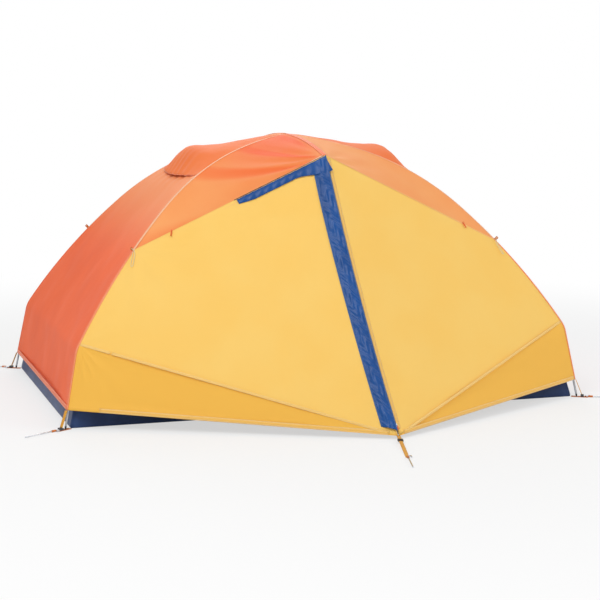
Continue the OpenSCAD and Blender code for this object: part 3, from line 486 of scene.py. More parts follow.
def woven(name, colour, shade, pitch_mm, roughness, crinkle_mm=9.0, crinkle=0.25, coat=0.0, deep=None):
    """Woven synthetic cloth: two near tones of one dye lot, the threads as fine bump, and packing creases.
    pitch_mm is drawn a few times coarser than the real 0.2 mm thread, so that it shows. deep is a colour of
    painted light and shade, mixed in where the piece's tone is 1."""
    m, tree, shader = material(name, roughness, Sheen_Weight=0.03, Sheen_Roughness=0.5, Coat_Weight=coat)
    shader.inputs["Coat Roughness"].default_value = 0.25
    shader.inputs["Specular IOR Level"].default_value = 0.2
    coord = add(tree, "ShaderNodeTexCoord")
    place, uv = coord.outputs["Object"], coord.outputs["UV"]
    base = two_tone(tree, place, colour, shade, 0.22)
    # Painted light and shade: the deep colour is mixed into the base where the piece's tone attribute is
    # high.
    if deep:
        share = add(tree, "ShaderNodeAttribute", attribute_name="tone").outputs["Fac"]
        base = colour_mix(tree, share, base, linear(deep))
    tree.links.new(base, shader.inputs["Base Color"])
    creases = add(tree, "ShaderNodeTexVoronoi", {"Vector": place, "Scale": 1000 / crinkle_mm / 6})
    soft = add(tree, "ShaderNodeTexNoise", {"Vector": place, "Scale": 1000 / crinkle_mm / 3, "Detail": 4.0})
    folds = {0: soft.outputs["Fac"], 1: 0.8, 2: creases.outputs["Distance"]}
    folded = add(tree, "ShaderNodeMath", folds, operation="MULTIPLY_ADD").outputs[0]
    big = add(tree, "ShaderNodeBump", {"Height": folded, "Strength": crinkle, "Distance": crinkle_mm / 4000})
    threads = thread_height(tree, uv, pitch_mm / 1000)
    fine = {"Height": threads, "Strength": 0.25, "Distance": pitch_mm / 4000, "Normal": big.outputs[0]}
    tree.links.new(add(tree, "ShaderNodeBump", fine).outputs[0], shader.inputs["Normal"])
    return m


def stitched(name, colour, thread, roughness=0.55, row=0.0035, pitch=0.0036):
    """A seam or hem strip: cloth with a row of lock stitches at the given distance each side of its middle.
    Each stitch is a short raised dash of thread, 2.4 mm long with a 1.2 mm gap."""
    m, tree, shader = material(name, roughness, Sheen_Weight=0.1)
    uv = add(tree, "ShaderNodeTexCoord").outputs["UV"]
    place = add(tree, "ShaderNodeTexCoord").outputs["Object"]
    split = add(tree, "ShaderNodeSeparateXYZ", {"Vector": uv})
    count = {0: split.outputs["Y"], 1: 1 / pitch}
    along = add(tree, "ShaderNodeMath", count, operation="MULTIPLY").outputs[0]
    along = add(tree, "ShaderNodeMath", {0: along}, operation="FRACT").outputs[0]
    dash = add(tree, "ShaderNodeMath", {0: along, 1: 0.66}, operation="LESS_THAN").outputs[0]
    off = add(tree, "ShaderNodeMath", {0: split.outputs["X"]}, operation="ABSOLUTE").outputs[0]
    near = add(tree, "ShaderNodeMath", {0: off, 1: row, 2: THREAD_W}, operation="COMPARE").outputs[0]
    mask = add(tree, "ShaderNodeMath", {0: near, 1: dash}, operation="MULTIPLY").outputs[0]
    base = two_tone(tree, place, colour, colour, 0.1)
    tree.links.new(colour_mix(tree, mask, base, linear(thread)), shader.inputs["Base Color"])
    threads = thread_height(tree, uv, 0.0012)
    height = add(tree, "ShaderNodeMath", {0: threads, 1: 0.3, 2: mask}, operation="MULTIPLY_ADD").outputs[0]
    pucker = add(tree, "ShaderNodeTexNoise", {"Vector": place, "Scale": 90.0, "Detail": 3.0}).outputs["Fac"]
    height = add(tree, "ShaderNodeMath", {0: pucker, 1: 1.2, 2: height}, operation="MULTIPLY_ADD").outputs[0]
    bump = add(tree, "ShaderNodeBump", {"Height": height, "Strength": 0.5, "Distance": 0.0006})
    tree.links.new(bump.outputs[0], shader.inputs["Normal"])
    return m


def webbing(name, colour, shade):
    """Woven polyester webbing: slanting ribs 2 mm apart over its length, matt, with painted shade in the
    grooves between the ribs.
    """
    m, tree, shader = material(name, 0.7, Sheen_Weight=0.15)
    coord = add(tree, "ShaderNodeTexCoord")
    wave = {"Vector": coord.outputs["UV"], "Scale": 1 / 0.002 / 10, "Distortion": 0.6}
    ribs = add(tree, "ShaderNodeTexWave", wave, bands_direction="DIAGONAL").outputs["Fac"]
    base = two_tone(tree, coord.outputs["Object"], colour, shade, 0.01)
    # Painted shade: the shade colour fills the low parts of the ribs.
    tree.links.new(colour_mix(tree, ribs, linear(shade), base), shader.inputs["Base Color"])
    bump = add(tree, "ShaderNodeBump", {"Height": ribs, "Strength": 0.6, "Distance": 0.0004})
    tree.links.new(bump.outputs[0], shader.inputs["Normal"])
    return m


def moulded(name, colour, shade, roughness=0.42, grain_mm=0.8):
    """Injection-moulded nylon or acetal: even colour, a fine spark-eroded grain and a soft gloss."""
    m, tree, shader = material(name, roughness)
    place = add(tree, "ShaderNodeTexCoord").outputs["Object"]
    tree.links.new(two_tone(tree, place, colour, shade, 0.02), shader.inputs["Base Color"])
    grain = add(tree, "ShaderNodeTexNoise", {"Vector": place, "Scale": 1000 / grain_mm, "Detail": 2.0})
    bump = add(tree, "ShaderNodeBump", {"Height": grain.outputs["Fac"], "Strength": 0.2, "Distance": 0.0002})
    tree.links.new(bump.outputs[0], shader.inputs["Normal"])
    return m


def drawn_metal(name, colour, shade, roughness, mark_mm=0.6):
    """Drawn and finished metal: streaks and small scuffs that change the roughness more than the colour."""
    m, tree, shader = material(name, roughness, metallic=1.0)
    place = add(tree, "ShaderNodeTexCoord").outputs["Object"]
    tree.links.new(two_tone(tree, place, colour, shade, 0.03), shader.inputs["Base Color"])
    marks = add(tree, "ShaderNodeTexNoise", {"Vector": place, "Scale": 1000 / mark_mm / 4, "Detail": 5.0})
    rough = {"Value": marks.outputs["Fac"], "To Min": roughness - 0.08, "To Max": roughness + 0.14}
    tree.links.new(add(tree, "ShaderNodeMapRange", rough).outputs[0], shader.inputs["Roughness"])
    bump = add(tree, "ShaderNodeBump", {"Height": marks.outputs["Fac"], "Strength": 0.12, "Distance": 0.0002})
    tree.links.new(bump.outputs[0], shader.inputs["Normal"])
    return m


def netting(name, colour, hole_mm=2.2):
    """Knitted insect netting: round holes hole_mm apart, drawn coarser than the real 0.8 mm to show,
    cut out by alpha between pale threads."""
    m, tree, shader = material(name, 0.75)
    uv = add(tree, "ShaderNodeTexCoord").outputs["UV"]
    cells = {"Vector": uv, "Scale": 1000 / hole_mm, "Randomness": 0.1}
    cell = add(tree, "ShaderNodeTexVoronoi", cells, voronoi_dimensions="2D").outputs["Distance"]
    thread = add(tree, "ShaderNodeMath", {0: cell, 1: 0.36}, operation="GREATER_THAN").outputs[0]
    alpha = add(tree, "ShaderNodeMapRange", {"Value": thread, "To Min": 0.25, "To Max": 1.0}).outputs[0]
    tree.links.new(alpha, shader.inputs["Alpha"])
    shader.inputs["Base Color"].default_value = linear(colour)
    bump = add(tree, "ShaderNodeBump", {"Height": cell, "Strength": 0.5, "Distance": 0.0004})
    tree.links.new(bump.outputs[0], shader.inputs["Normal"])
    return m


def coiled(name, colour, gap, pitch_mm=1.5):
    """Nylon zip coil: ribs pitch_mm apart by height, painted shade dark in the gaps, and a soft moulded
    gloss.
    """
    m, tree, shader = material(name, 0.38)
    place = add(tree, "ShaderNodeTexCoord").outputs["Object"]
    wave = {"Vector": place, "Scale": 1000 / pitch_mm / 20}
    ribs = add(tree, "ShaderNodeTexWave", wave, bands_direction="Z").outputs["Fac"]
    # Painted shade: the gap colour darkens the low parts between the ribs.
    tree.links.new(colour_mix(tree, ribs, linear(gap), linear(colour)), shader.inputs["Base Color"])
    bump = add(tree, "ShaderNodeBump", {"Height": ribs, "Strength": 0.8, "Distance": 0.0005})
    tree.links.new(bump.outputs[0], shader.inputs["Normal"])
    return m


def braided(name, colour, fleck, pitch_mm=1.6):
    """Braided cord: two slanting families of strands, with a reflective fleck."""
    m, tree, shader = material(name, 0.6, Sheen_Weight=0.2)
    uv = add(tree, "ShaderNodeTexCoord").outputs["UV"]
    scaled = add(tree, "ShaderNodeMapping", {"Vector": uv, "Scale": (0.004, 1.0, 1.0)}).outputs[0]
    wave = {"Vector": scaled, "Scale": 1000 / pitch_mm / 10}
    strands = add(tree, "ShaderNodeTexWave", wave, bands_direction="DIAGONAL").outputs["Fac"]
    tree.links.new(colour_mix(tree, strands, linear(fleck), linear(colour)), shader.inputs["Base Color"])
    bump = add(tree, "ShaderNodeBump", {"Height": strands, "Strength": 0.7, "Distance": 0.0003})
    tree.links.new(bump.outputs[0], shader.inputs["Normal"])
    return m


# Polyurethane-coated nylon taffeta, dyed: low gloss on the fly, shinier and crinkled on the flap,
# with a coarser weave and packing creases on the floor
# FLY_ORANGE's deep colour is painted light on the upper part of the end panel.
FLY_ORANGE = woven("coated_taffeta_orange", "#fd6c33", "#f7662f", 0.9, 0.6, deep="#fe9a60")
# FLY_APRICOT's deep orange is painted light and shade near the roof's peak.
FLY_APRICOT = woven("coated_taffeta_apricot", "#fdab68", "#fca35f", 0.9, 0.6, deep="#fa6526")
# HOOD_ORANGE is the orange fly cloth in a colour of its own, painted light and shade for the hood: lighter
# than the end panel's foot, darker than its top.
HOOD_ORANGE = woven("coated_taffeta_hood", "#fa8244", "#f67a3a", 0.9, 0.6, crinkle=0.35)
# FLY_YELLOW's deep colour is painted shade on the lower panels of the vestibule and the door.
FLY_YELLOW = woven("coated_taffeta_yellow", "#fed06e", "#fecd68", 0.9, 0.6, deep="#fbc050")
FLAP_BLUE = woven("shiny_taffeta_blue", "#13539c", "#0c4383", 0.9, 0.34, 14.0, 0.6, coat=0.12)
TUB_NAVY = woven("coated_nylon_navy", "#2a3b64", "#3a5282", 1.2, 0.45, crinkle_mm=16.0, crinkle=0.4)
# Uncoated breathable nylon and knitted netting of the inner tent: matt, the net see-through
INNER_CREAM = woven("breathable_nylon_cream", "#e9e3d4", "#e2dac8", 0.9, 0.6)
INNER_NET = netting("knitted_netting_white", "#efeae0")
VENT_NET = netting("knitted_netting_sand", "#b9b2a4")
DOOR_NET = netting("knitted_netting_grey", "#d9d9d6")
# Lapped seams, hems and the ridge band: the panel's own cloth with a row of lighter stitches
SEAM_ORANGE = stitched("lapped_seam_orange", "#f8824a", "#ffd9b0")
SEAM_APRICOT = stitched("lapped_seam_apricot", "#fcb685", "#fff0dc")
SEAM_YELLOW = stitched("lapped_seam_yellow", "#f9c763", "#fff0c4")
HEM_ORANGE = stitched("hem_orange", "#ee6d38", "#ffc9a0", row=0.006)
HEM_YELLOW = stitched("hem_yellow", "#f4bd58", "#fff0c4", row=0.006)
HEM_BLUE = stitched("hem_blue", "#1b5290", "#7fa6d6", row=0.004)
# Polyester webbing, a nylon zip coil and braided cord: ribs that catch the light across their length
# The second colour of each webbing is both its random tone and the painted shade in its grooves.
WEB_ORANGE = webbing("polyester_webbing_orange", "#e8862f", "#c96a1c")
WEB_YELLOW = webbing("polyester_webbing_yellow", "#f4b63e", "#d9962a")
# The coil's gap colour is painted shade.
ZIP_COIL = coiled("zip_coil_nylon", "#262932", "#15171c")
RIDGE_BAND = stitched("ridge_band_orange", "#fa7338", "#ffd9b0", row=0.0095)
GUY_BRAID = braided("braided_guy_cord", "#f6e3a8", "#c9c4b4")
# Anodised pole tubes, bare inserts, polished pegs and plated hardware: satin to bright, with fine scuffs
POLE_ALLOY = drawn_metal("anodised_aluminium_silver", "#c3c6cb", "#aeb2b8", 0.32)
INSERT_ALLOY = drawn_metal("bare_aluminium", "#9a9da3", "#85888e", 0.4)
PEG_ALLOY = drawn_metal("polished_alloy_rod", "#d2d5da", "#b5b8be", 0.24)
NICKEL = drawn_metal("nickel_plated_brass", "#cdcfd2", "#b0b2b6", 0.25)
# Moulded fittings: dark nylon clips, grey buckles, glossy orange pulls; the shock cord's braid
DARK_NYLON = moulded("moulded_nylon_black", "#34363b", "#2a2c30")
GREY_NYLON = moulded("moulded_acetal_grey", "#3d3f44", "#303236")
ORANGE_ACETAL = moulded("moulded_acetal_orange", "#e9681f", "#d95a14", 0.35)
ELASTIC = braided("braided_elastic_black", "#2b2d31", "#4a4c52")

NODE_FINISH = {
    POLE_ALLOY: ["pole_a", "pole_b", "brow_pole"],
    INSERT_ALLOY: ["pole_ferrules"],
    DARK_NYLON: ["pole_tips", "crossing_hub", "pole_clips", "vent_prop_left", "vent_prop_right"],
    GREY_NYLON: ["fly_buckles", "ladder_lock_front", "ladder_lock_back"],
    ELASTIC: ["shock_cords"],
    NICKEL: ["grommets", "zip_slider_front", "zip_slider_back"],
    ORANGE_ACETAL: ["zip_pull_front", "zip_pull_back", "tieback_toggles"],
    PEG_ALLOY: [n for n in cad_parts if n.startswith("peg_") and n != "peg_loops"],
}
for finish, names in NODE_FINISH.items():
    for node_name in names:
        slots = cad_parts[node_name].data.materials
        slots.clear()
        slots.append(finish)


# ---- Camera, light and floor ----

camera = bpy.data.objects.new("camera", bpy.data.cameras.new("camera"))
camera.data.lens = 96
camera.data.sensor_width = 36
camera.location = (-2.196, -6.942, 1.440)
camera.rotation_euler = Euler(np.radians([90 - 8.26, -0.31, -18.04]), "XYZ")
scene.collection.objects.link(camera)
scene.camera = camera
scene.view_settings.view_transform = "Standard"


def softbox(name, place, size, power, tint="#ffffff"):
    """A square studio softbox at a place, turned towards the middle of the tent."""
    light = bpy.data.lights.new(name, "AREA")
    light.size = size
    light.energy = power
    light.color = linear(tint)[:3]
    lamp = bpy.data.objects.new(name, light)
    lamp.location = place
    lamp.rotation_euler = (Vector((0, 0, 0.5)) - Vector(place)).to_track_quat("-Z", "Y").to_euler()
    scene.collection.objects.link(lamp)


softbox("key_softbox", (-2.6, -3.2, 4.6), 3.0, 128)
softbox("fill_softbox", (4.2, -3.4, 2.8), 3.5, 62)
softbox("back_softbox", (0.5, 4.5, 4.0), 3.5, 70)

def seen_plainly(tree):
    """1 for rays of the camera, of reflections and of transmission, and 0 for the rays that light things."""
    rays = add(tree, "ShaderNodeLightPath").outputs
    either = {0: rays["Is Camera Ray"], 1: rays["Is Glossy Ray"]}
    share = add(tree, "ShaderNodeMath", either, operation="MAXIMUM").outputs[0]
    either = {0: share, 1: rays["Is Transmission Ray"]}
    return add(tree, "ShaderNodeMath", either, operation="MAXIMUM").outputs[0]


world = bpy.data.worlds.new("studio")
world.use_nodes = True
scene.world = world
sky = world.node_tree
white = add(sky, "ShaderNodeBackground", {"Color": linear("#ffffff"), "Strength": 1.0})
soft_sky = add(sky, "ShaderNodeBackground", {"Color": linear("#f4f6fa"), "Strength": 0.5})
both_skies = {0: seen_plainly(sky), 1: soft_sky.outputs[0], 2: white.outputs[0]}
world_mix = add(sky, "ShaderNodeMixShader", both_skies)
sky.links.new(world_mix.outputs[0], sky.nodes["World Output"].inputs["Surface"])


def studio_floor():
    """Pale floor: a square 30 m wide, whose camera colour is white with the tent's shadow mixed in."""
    half = 15.0
    p = np.array([[[-half, -half, 0], [half, -half, 0]], [[-half, half, 0], [half, half, 0]]], float)
    p[..., 2] = -0.0005
    m, tree, shader = material("studio_floor_white", 0.9)
    shader.inputs["Base Color"].default_value = linear("#f3f3f2")
    glow = add(tree, "ShaderNodeEmission", {"Color": linear("#ffffff"), "Strength": 1.0})
    place = add(tree, "ShaderNodeTexCoord").outputs["Object"]
    far = add(tree, "ShaderNodeVectorMath", {0: place}, operation="LENGTH").outputs["Value"]
    near_share = {"Value": far, "From Min": 1.8, "From Max": 4.2, "To Min": 0.6, "To Max": 1.0}
    share = add(tree, "ShaderNodeMapRange", near_share, interpolation_type="SMOOTHSTEP").outputs[0]
    partly = add(tree, "ShaderNodeMath", {0: seen_plainly(tree), 1: share}, operation="MULTIPLY").outputs[0]
    mix = add(tree, "ShaderNodeMixShader", {0: partly, 1: shader.outputs[0], 2: glow.outputs[0]})
    tree.links.new(mix.outputs[0], tree.nodes["Material Output"].inputs["Surface"])
    floor = mesh_piece("studio_floor", p, [[0, 1, 3, 2]], np.zeros((2, 2, 2)), m)


studio_floor()


# ---- Cloth of the tent: every function makes one panel of the front, and TURN also makes the back's ----

TURN = {"front": np.ones(3), "back": HALF_TURN}
ZIP_EDGE = 0.003


def side_name(end, side):
    """Name of the side that a front panel's left or right lands on after the turn."""
    return side if end == "front" else {"left": "right", "right": "left"}[side]


def through(values, k):
    """Smooth line through values at whole steps, read at steps k: cubic between neighbours."""
    k = np.clip(np.asarray(k, float), 0, len(values) - 1)
    i = np.minimum(k.astype(int), len(values) - 2)
    t = k - i
    pad = np.concatenate([2 * values[:1] - values[1:2], values, 2 * values[-1:] - values[-2:-1]])
    a, b, c, d = pad[i], pad[i + 1], pad[i + 2], pad[i + 3]
    if np.ndim(a) > 1:
        t = t[:, None]
    return b + 0.5 * t * (c - a + t * (2 * a - 5 * b + 4 * c - d + t * (3 * (b - c) + d - a)))


def ridge(k, off=FLY_OFF, reach=APEX_Y):
    """The ridge from the peak (k = 0) to the front (k = JOIN_K)."""
    return brow_line(reach * np.asarray(k, float) / JOIN_K, off)


def roof_grid():
    """Front roof: for each step k a line from the left crease to the ridge and on to the right crease.
    Its last rows hang down over the door in the shallow curve of roof_edge; fan creases pull at the apex
    and at both joins."""
    k = np.linspace(0.15, JOIN_K, 90)
    top = ridge(k)
    left = ruled(crease(k, -1, -1), top, 61)
    right = ruled(top, crease(k, 1, -1), 61)
    p = np.concatenate([left, right[:, 1:]], 1)
    u = np.linspace(0, 1, 61)
    hang_left = roof_edge(u, -1) - lerp(JOIN_L, APEX, u)
    hang_right = roof_edge(u, 1) - lerp(JOIN_R, APEX, u)
    hang = np.concatenate([hang_left, hang_right[::-1][1:]])
    p = p + hang[None] * (smooth((k - 8.5) / 3.5) ** 2)[:, None, None]
    w = held(p, 1, 0, 1, 1)
    middle = smooth(np.abs(np.linspace(-1, 1, 121)) / 0.12)[None, :]
    low = -0.010 * np.sin(np.pi * np.abs(np.linspace(-1, 1, 121)))[None, :] * smooth((k - 1) / 5)[:, None]
    h = low + slack(p, 0.5, 0.0025) * w * middle
    h = h + pulls(p, APEX, 0.38, 15, 0.0035, 0.4) * w * middle + pulls(p, JOIN_L, 0.20, 12, 0.003) * w
    h = h + pulls(p, JOIN_R, 0.18, 12, 0.0025, 1.0) * w
    p = raised(p, h)
    # Painted light and shade: the tone lays the deep orange where light shines through near the peak on the
    # left, and in bands of crease shade that fan out from the apex.
    fan = np.arctan2((APEX - p)[..., 0], (p - APEX)[..., 1] + 0.02)
    bands = smooth((np.sin(fan * 13 + 0.8) - 0.1) / 0.9)
    near = np.exp(-((np.linalg.norm(p - ridge(3.0), axis=-1) / 0.44) ** 2))
    on_left = smooth((-p[..., 0] + 0.01) / 0.05)
    return p, np.clip(on_left * (0.95 * near + 0.38 * bands * smooth((k / JOIN_K)[:, None] * 1.6)), 0, 1)


def end_grid():
    """Left end panel below the vent: straight lines between the two left creases, slightly hollow, with pulls
    at the feet and small puckers under the vent's brim."""
    k = np.linspace(BRIM_K, HEM_K, 130)
    p = ruled(crease(k, -1, -1), crease(k, -1, 1), 81)
    w = held(p, 1, 0, 1, 1)
    v = np.linspace(0, 1, 81)[None, :]
    h = -0.016 * np.sin(np.pi * v) * smooth((k - BRIM_K) / 3)[:, None]
    h = h + slack(p, 0.45, 0.004, 2.0) * w
    h = h + pulls(p, crease(HEM_K, -1, -1), 0.35, 11, 0.003) * w
    h = h + pulls(p, crease(HEM_K, -1, 1), 0.3, 11, 0.003) * w
    h = h + 0.004 * np.sin(v * 46) * np.exp(-((k - BRIM_K) / 1.0) ** 2)[:, None] * np.sin(np.pi * v)
    # Painted light: the tone lightens the panel from 0.62 m up to 0.96 m, where it faces up to the light.
    return raised(p, h), smooth((p[..., 2] - 0.62) / 0.34)


def hood_grid():
    """Left vent hood: lines between the two left creases from the peak to the brim, bulged by a parabola that
    grows towards the brim, where the cloth droops and puckers."""
    k = np.linspace(0.15, BRIM_K, 70)
    v = np.linspace(-1, 1, 81)
    p = ruled(crease(k, -1, -1), crease(k, -1, 1), 81)
    bulge = (1 - v * v)[None, :]
    p[..., 0] -= through(HOOD_OUT, k)[:, None] * bulge
    p[..., 2] += through(HOOD_RISE, k)[:, None] * bulge
    w = held(p, 1, 0, 1, 1)
    puckers = 0.0025 * np.sin(v * 30)[None, :] * smooth((k - 5.4) / 1.6)[:, None] * bulge
    return raised(p, slack(p, 0.3, 0.003, 4.0) * w + puckers)


def vent_net_grid():
    """Net in the left vent: upright, from the brim's line up to under the hood, narrower towards its top."""
    s, z = pole_line(HIGH_H, np.array(float(BRIM_K)), FLY_OFF)
    u = np.linspace(0, 1, 9)
    half = 0.72 * s * np.sin(DIAGONAL) * (1 - 0.9 * u**1.4)
    y = np.linspace(-1, 1, 41)[None, :] * half[:, None]
    return np.stack(np.broadcast_arrays(-s * np.cos(DIAGONAL) + 0.0007, y, (z + 0.040 * u)[:, None]), -1)


def fixed_grid():
    """Right fixed panel: lines from the right crease to the zip, then a fan from the leg to the tip."""
    u = np.linspace(0, 1, 90)
    zip_side = zip_line(u)
    outer = crease(JOIN_K + 3 * u, 1, -1)
    zip_side = zip_side + side_of(zip_side, outer) * ZIP_EDGE
    s = np.linspace(0, 1, 30)[1:]
    low = ruled(crease(KNEE_K + 4 * s, 1, -1), np.repeat(zip_side[-1:], 29, 0), 71)
    p = np.concatenate([ruled(outer, zip_side, 71), low])
    upper = np.concatenate([np.ones(90), np.zeros(29)])[:, None]
    w = held(p, 1, 0, 1, 1)
    v = np.linspace(0, 1, 71)[None, :]
    h = -0.010 * np.sin(np.pi * v) * smooth(np.arange(119) / 20)[:, None] + slack(p, 0.55, 0.0025, 7.0) * w
    h = h + pulls(p, JOIN_R, 0.25, 12, 0.003, 2.0) * w + pulls(p, TIP, 0.35, 11, 0.003, 1.0) * w
    h = h + pulls(p, crease(KNEE_K, 1, -1), 0.2, 10, 0.002) * w
    # Painted shade: the tone gives the lower panel, below the knee, a deeper yellow.
    return raised(p, h * smooth(np.arange(119)[::-1] / 6)[:, None]), 1 - upper


def door_grid():
    """Left door with its gusset, one cloth: lines from the left crease over the fold to the zip, then from
    the leg over the fold's foot to the tip."""
    u = np.linspace(0, 1, 90)
    zip_side, fold = zip_line(u), lerp(ZIP_TOP, FOLD, u)
    zip_side = zip_side - side_of(zip_side, crease(JOIN_K + 3 * u, 1, -1)) * ZIP_EDGE
    s = np.linspace(0, 1, 30)[1:]
    fold = np.concatenate([fold, lerp(FOLD, HEM_L, s)])
    outer = np.concatenate([crease(JOIN_K + 3 * u, -1, -1), crease(KNEE_K + 4 * s, -1, -1)])
    zip_side = np.concatenate([zip_side, np.repeat(zip_side[-1:], 29, 0)])
    p = np.concatenate([ruled(outer, fold, 25), ruled(fold, zip_side, 71)[:, 1:]], 1)
    upper = np.concatenate([np.ones(90), np.zeros(29)])[:, None]
    w = held(p, 1, 0, 1, 1)
    v = np.linspace(0, 1, 95)[None, :]
    h = -0.006 * np.sin(np.pi * v) * smooth(np.arange(119) / 20)[:, None] + slack(p, 0.55, 0.0025, 9.0) * w
    h = h + pulls(p, JOIN_L, 0.28, 12, 0.003, 2.0) * w + pulls(p, TIP, 0.35, 11, 0.003, 1.0) * w
    h = h + pulls(p, KNEE_L, 0.2, 10, 0.002) * w
    # Painted shade: the tone gives the lower panel, below the knee, a deeper yellow.
    return raised(p, h * smooth(np.arange(119)[::-1] / 6)[:, None]), 1 - upper


def flap_grid():
    """Storm flap down the zip: a strip that leaves the door FLAP_W and a hem from the zip, arches off the
    coil and its slider, and ends over the zip. Short crinkles run across it."""
    u = np.linspace(0.005, 0.985, 320)
    zip_side = zip_line(u)
    inner = unit(lerp(ZIP_TOP, FOLD, u) - zip_side)
    x = np.linspace(1, 0, 25)
    p = zip_side[:, None] + inner[:, None] * ((FLAP_W + 0.012) * x - 0.001)[None, :, None]
    arch = 0.0015 + (0.0085 + 0.004 * smooth((u - 0.85) / 0.08)[:, None]) * smooth((1 - x[None, :]) / 0.55)
    run = u[:, None] * 1.25
    short = np.sin(run * 190 + 5 * np.sin(run * 37 + 6 * x[None, :]))
    crinkle = 0.5 * short + 0.5 * np.sin(run * 83 + 9 * x[None, :])
    arch = arch + 0.0016 * crinkle * smooth((1 - x[None, :]) / 0.25)
    return raised(p, arch)


def flap_arm_grid():
    """The flap's arm under the roof's edge, from the zip's upper end to the apex, widest at the apex."""
    u = np.linspace(0.03, 0.985, 90)
    top = lerp(ZIP_TOP, APEX, u)
    down = side_of(top, np.broadcast_to(TIP, top.shape))
    width = 0.034 + 0.040 * smooth((u - 0.62) / 0.34) - 0.012 * smooth((0.2 - u) / 0.2)
    x = np.linspace(0, 1, 13)
    p = top[:, None] + down[:, None] * (0.004 + width[:, None] * x[None, :])[..., None]
    crinkle = np.sin(u[:, None] * 70 + 4 * x[None, :]) * 0.0008
    return raised(p, 0.0026 + 0.003 * np.sin(np.pi * x)[None, :] + crinkle)


def wall_point(x, t):
    """Points of the upright inner wall at distance x from its middle and t up its slope."""
    tilt = np.radians(8.46561)
    x, t = np.broadcast_arrays(x, t)
    return np.stack([x, -0.65834 + t * np.sin(tilt), 0.15065 + t * np.cos(tilt)], -1)


def door_half(t):
    """Half width of the inner door at height t: upright sides, then straight to a crown at its top."""
    lean = np.clip((t - SILL_H - DOOR_SIDE_H) / (DOOR_H - DOOR_SIDE_H), 0, 1)
    return DOOR_W / 2 + (DOOR_CROWN - DOOR_W / 2) * lean


def wall_grid(sx):
    """Half of the inner wall: from its slanting edge to the door's opening or to the middle."""
    side_top, top = SILL_H + DOOR_SIDE_H, SILL_H + DOOR_H
    step = 1e-4
    heights = [0, 0.02, SILL_H, SILL_H + step, 0.15, 0.31, side_top, 0.56, 0.65, top, top + step, 0.80, 0.868]
    t = np.array(heights)
    t = np.interp(np.linspace(0, len(t) - 1, (len(t) - 1) * 6 + 1), np.arange(len(t)), t)
    edge = 1.08593 * (1 - t / 0.87181)
    inside = np.where((t > SILL_H) & (t <= top), door_half(t), 0)
    x = sx * (edge[:, None] + (inside - edge)[:, None] * np.linspace(0, 1, 41)[None, :])
    return wall_point(x, t[:, None])


def gore_grid(sx):
    """Inner gore between a front pole and the upright wall."""
    u = np.linspace(0, 0.985, 60)
    edge = inner_edge(JOIN_K + 7 * u, sx, -1)
    foot = inner_edge(HEM_K, sx, -1)
    apex = brow_line(APEX_Y - 0.022, -BROW_DROP)
    p = ruled(edge, lerp(apex, foot, u), 31)
    return raised(p, slack(p, 0.3, 0.003, 3.0) * held(p))


def inner_end_grid():
    """Left end of the inner tent: lines between its two left edges, with slack that clips leave."""
    k = np.linspace(0.15, 18.97, 140)
    p = ruled(inner_edge(k, -1, -1), inner_edge(k, -1, 1), 61)
    return raised(p, slack(p, 0.35, 0.005, 5.0) * held(p) - 0.010 * held(p))


def inner_roof_grid():
    """Front roof of the inner tent: lines from the left edge to its ridge and on to the right edge."""
    k = np.linspace(0.15, JOIN_K, 60)
    top = ridge(k, -BROW_DROP, APEX_Y - 0.022)
    right = ruled(top, inner_edge(k, 1, -1), 41)
    p = np.concatenate([ruled(inner_edge(k, -1, -1), top, 41), right[:, 1:]], 1)
    return raised(p, slack(p, 0.35, 0.004, 6.0) * held(p))


def tub_grid():
    """Bathtub floor: rectangular rings from the middle outwards, a bend of 12 mm, then the wall up to its
    upper edge, which leans in with the end panels. The floor wanders by under a millimetre."""
    n = 60
    side = np.linspace(-1, 1, n, endpoint=False)
    one = np.ones(n)
    ring = np.concatenate([np.stack(q, -1) for q in ((one, -side), (-side, -one), (-one, side), (side, one))])
    share = np.concatenate([np.linspace(0.01, 0.985, 28), np.ones(22)])
    height = np.concatenate([np.zeros(28), np.linspace(0, TUB_H, 22)])
    bend = np.exp(-height / 0.006)
    lean = np.array([CORNER[0] - 1.08593, CORNER[1] - 0.65834])
    half = CORNER - lean * (height / TUB_H)[:, None] - 0.004 * bend[:, None] * (share == 1)[:, None]
    xy = ring[None] * half[:, None] * share[:, None, None]
    z = height[:, None] + 0 * ring[None, :, 0]
    p = np.concatenate([xy, z[..., None]], -1)
    lift = np.abs(slack(p, 0.4, 0.0012)) * (share < 1)[:, None]
    wave = slack(p, 0.28, 0.004, 1.0) * np.sin(np.pi * height / TUB_H)[:, None]
    p[..., 2] += lift + 0.0001
    away = np.concatenate([unit(ring * np.abs(ring) ** 8), 0 * ring[:, :1]], -1)
    return p + away[None] * (wave - 0.0045 * np.sin(np.pi * height / TUB_H)[:, None])[..., None]


def to_outline(along, beside, c, s):
    """Distance from a hole's middle, in the ways with cosines c and sines s, to the outline of a rectangle
    that lies along and beside it."""
    return np.minimum(along / np.maximum(np.abs(c), 1e-9), beside / np.maximum(np.abs(s), 1e-9))


def tab_grid(sx, sy):
    """Corner tab: flat webbing round the pole foot's eyelet, lines from the hole to the tab's outline."""
    a = np.linspace(0, 2 * np.pi, 73)
    lo, hi, half = -0.0246, 0.0500, WEB_W / 2
    c, s = np.cos(a), np.sin(a)
    reach = to_outline(np.where(c > 0, hi, -lo), half, c, s)
    r = 0.0062 + (reach - 0.0062) * np.linspace(0, 1, 9)[:, None]
    along, side = r * c, r * s
    way = np.array([sx * np.cos(DIAGONAL), sy * np.sin(DIAGONAL)])
    xy = way * (FOOT_S + along)[..., None] + np.array([-way[1], way[0]]) * side[..., None]
    return np.concatenate([xy, np.full((9, 73, 1), 0.0016)], -1)


def fly_strap_path(sx, sy):
    """Strap from the hem's corner down to its buckle at the tab: a shallow arc."""
    u = np.linspace(0, 1, 20)
    s = 1.32912 + (1.35675 - 1.32912) * u
    z = 0.0772 + (0.0121 - 0.0772) * u
    return on_diagonal(np.stack([s, z], -1), sx, sy)


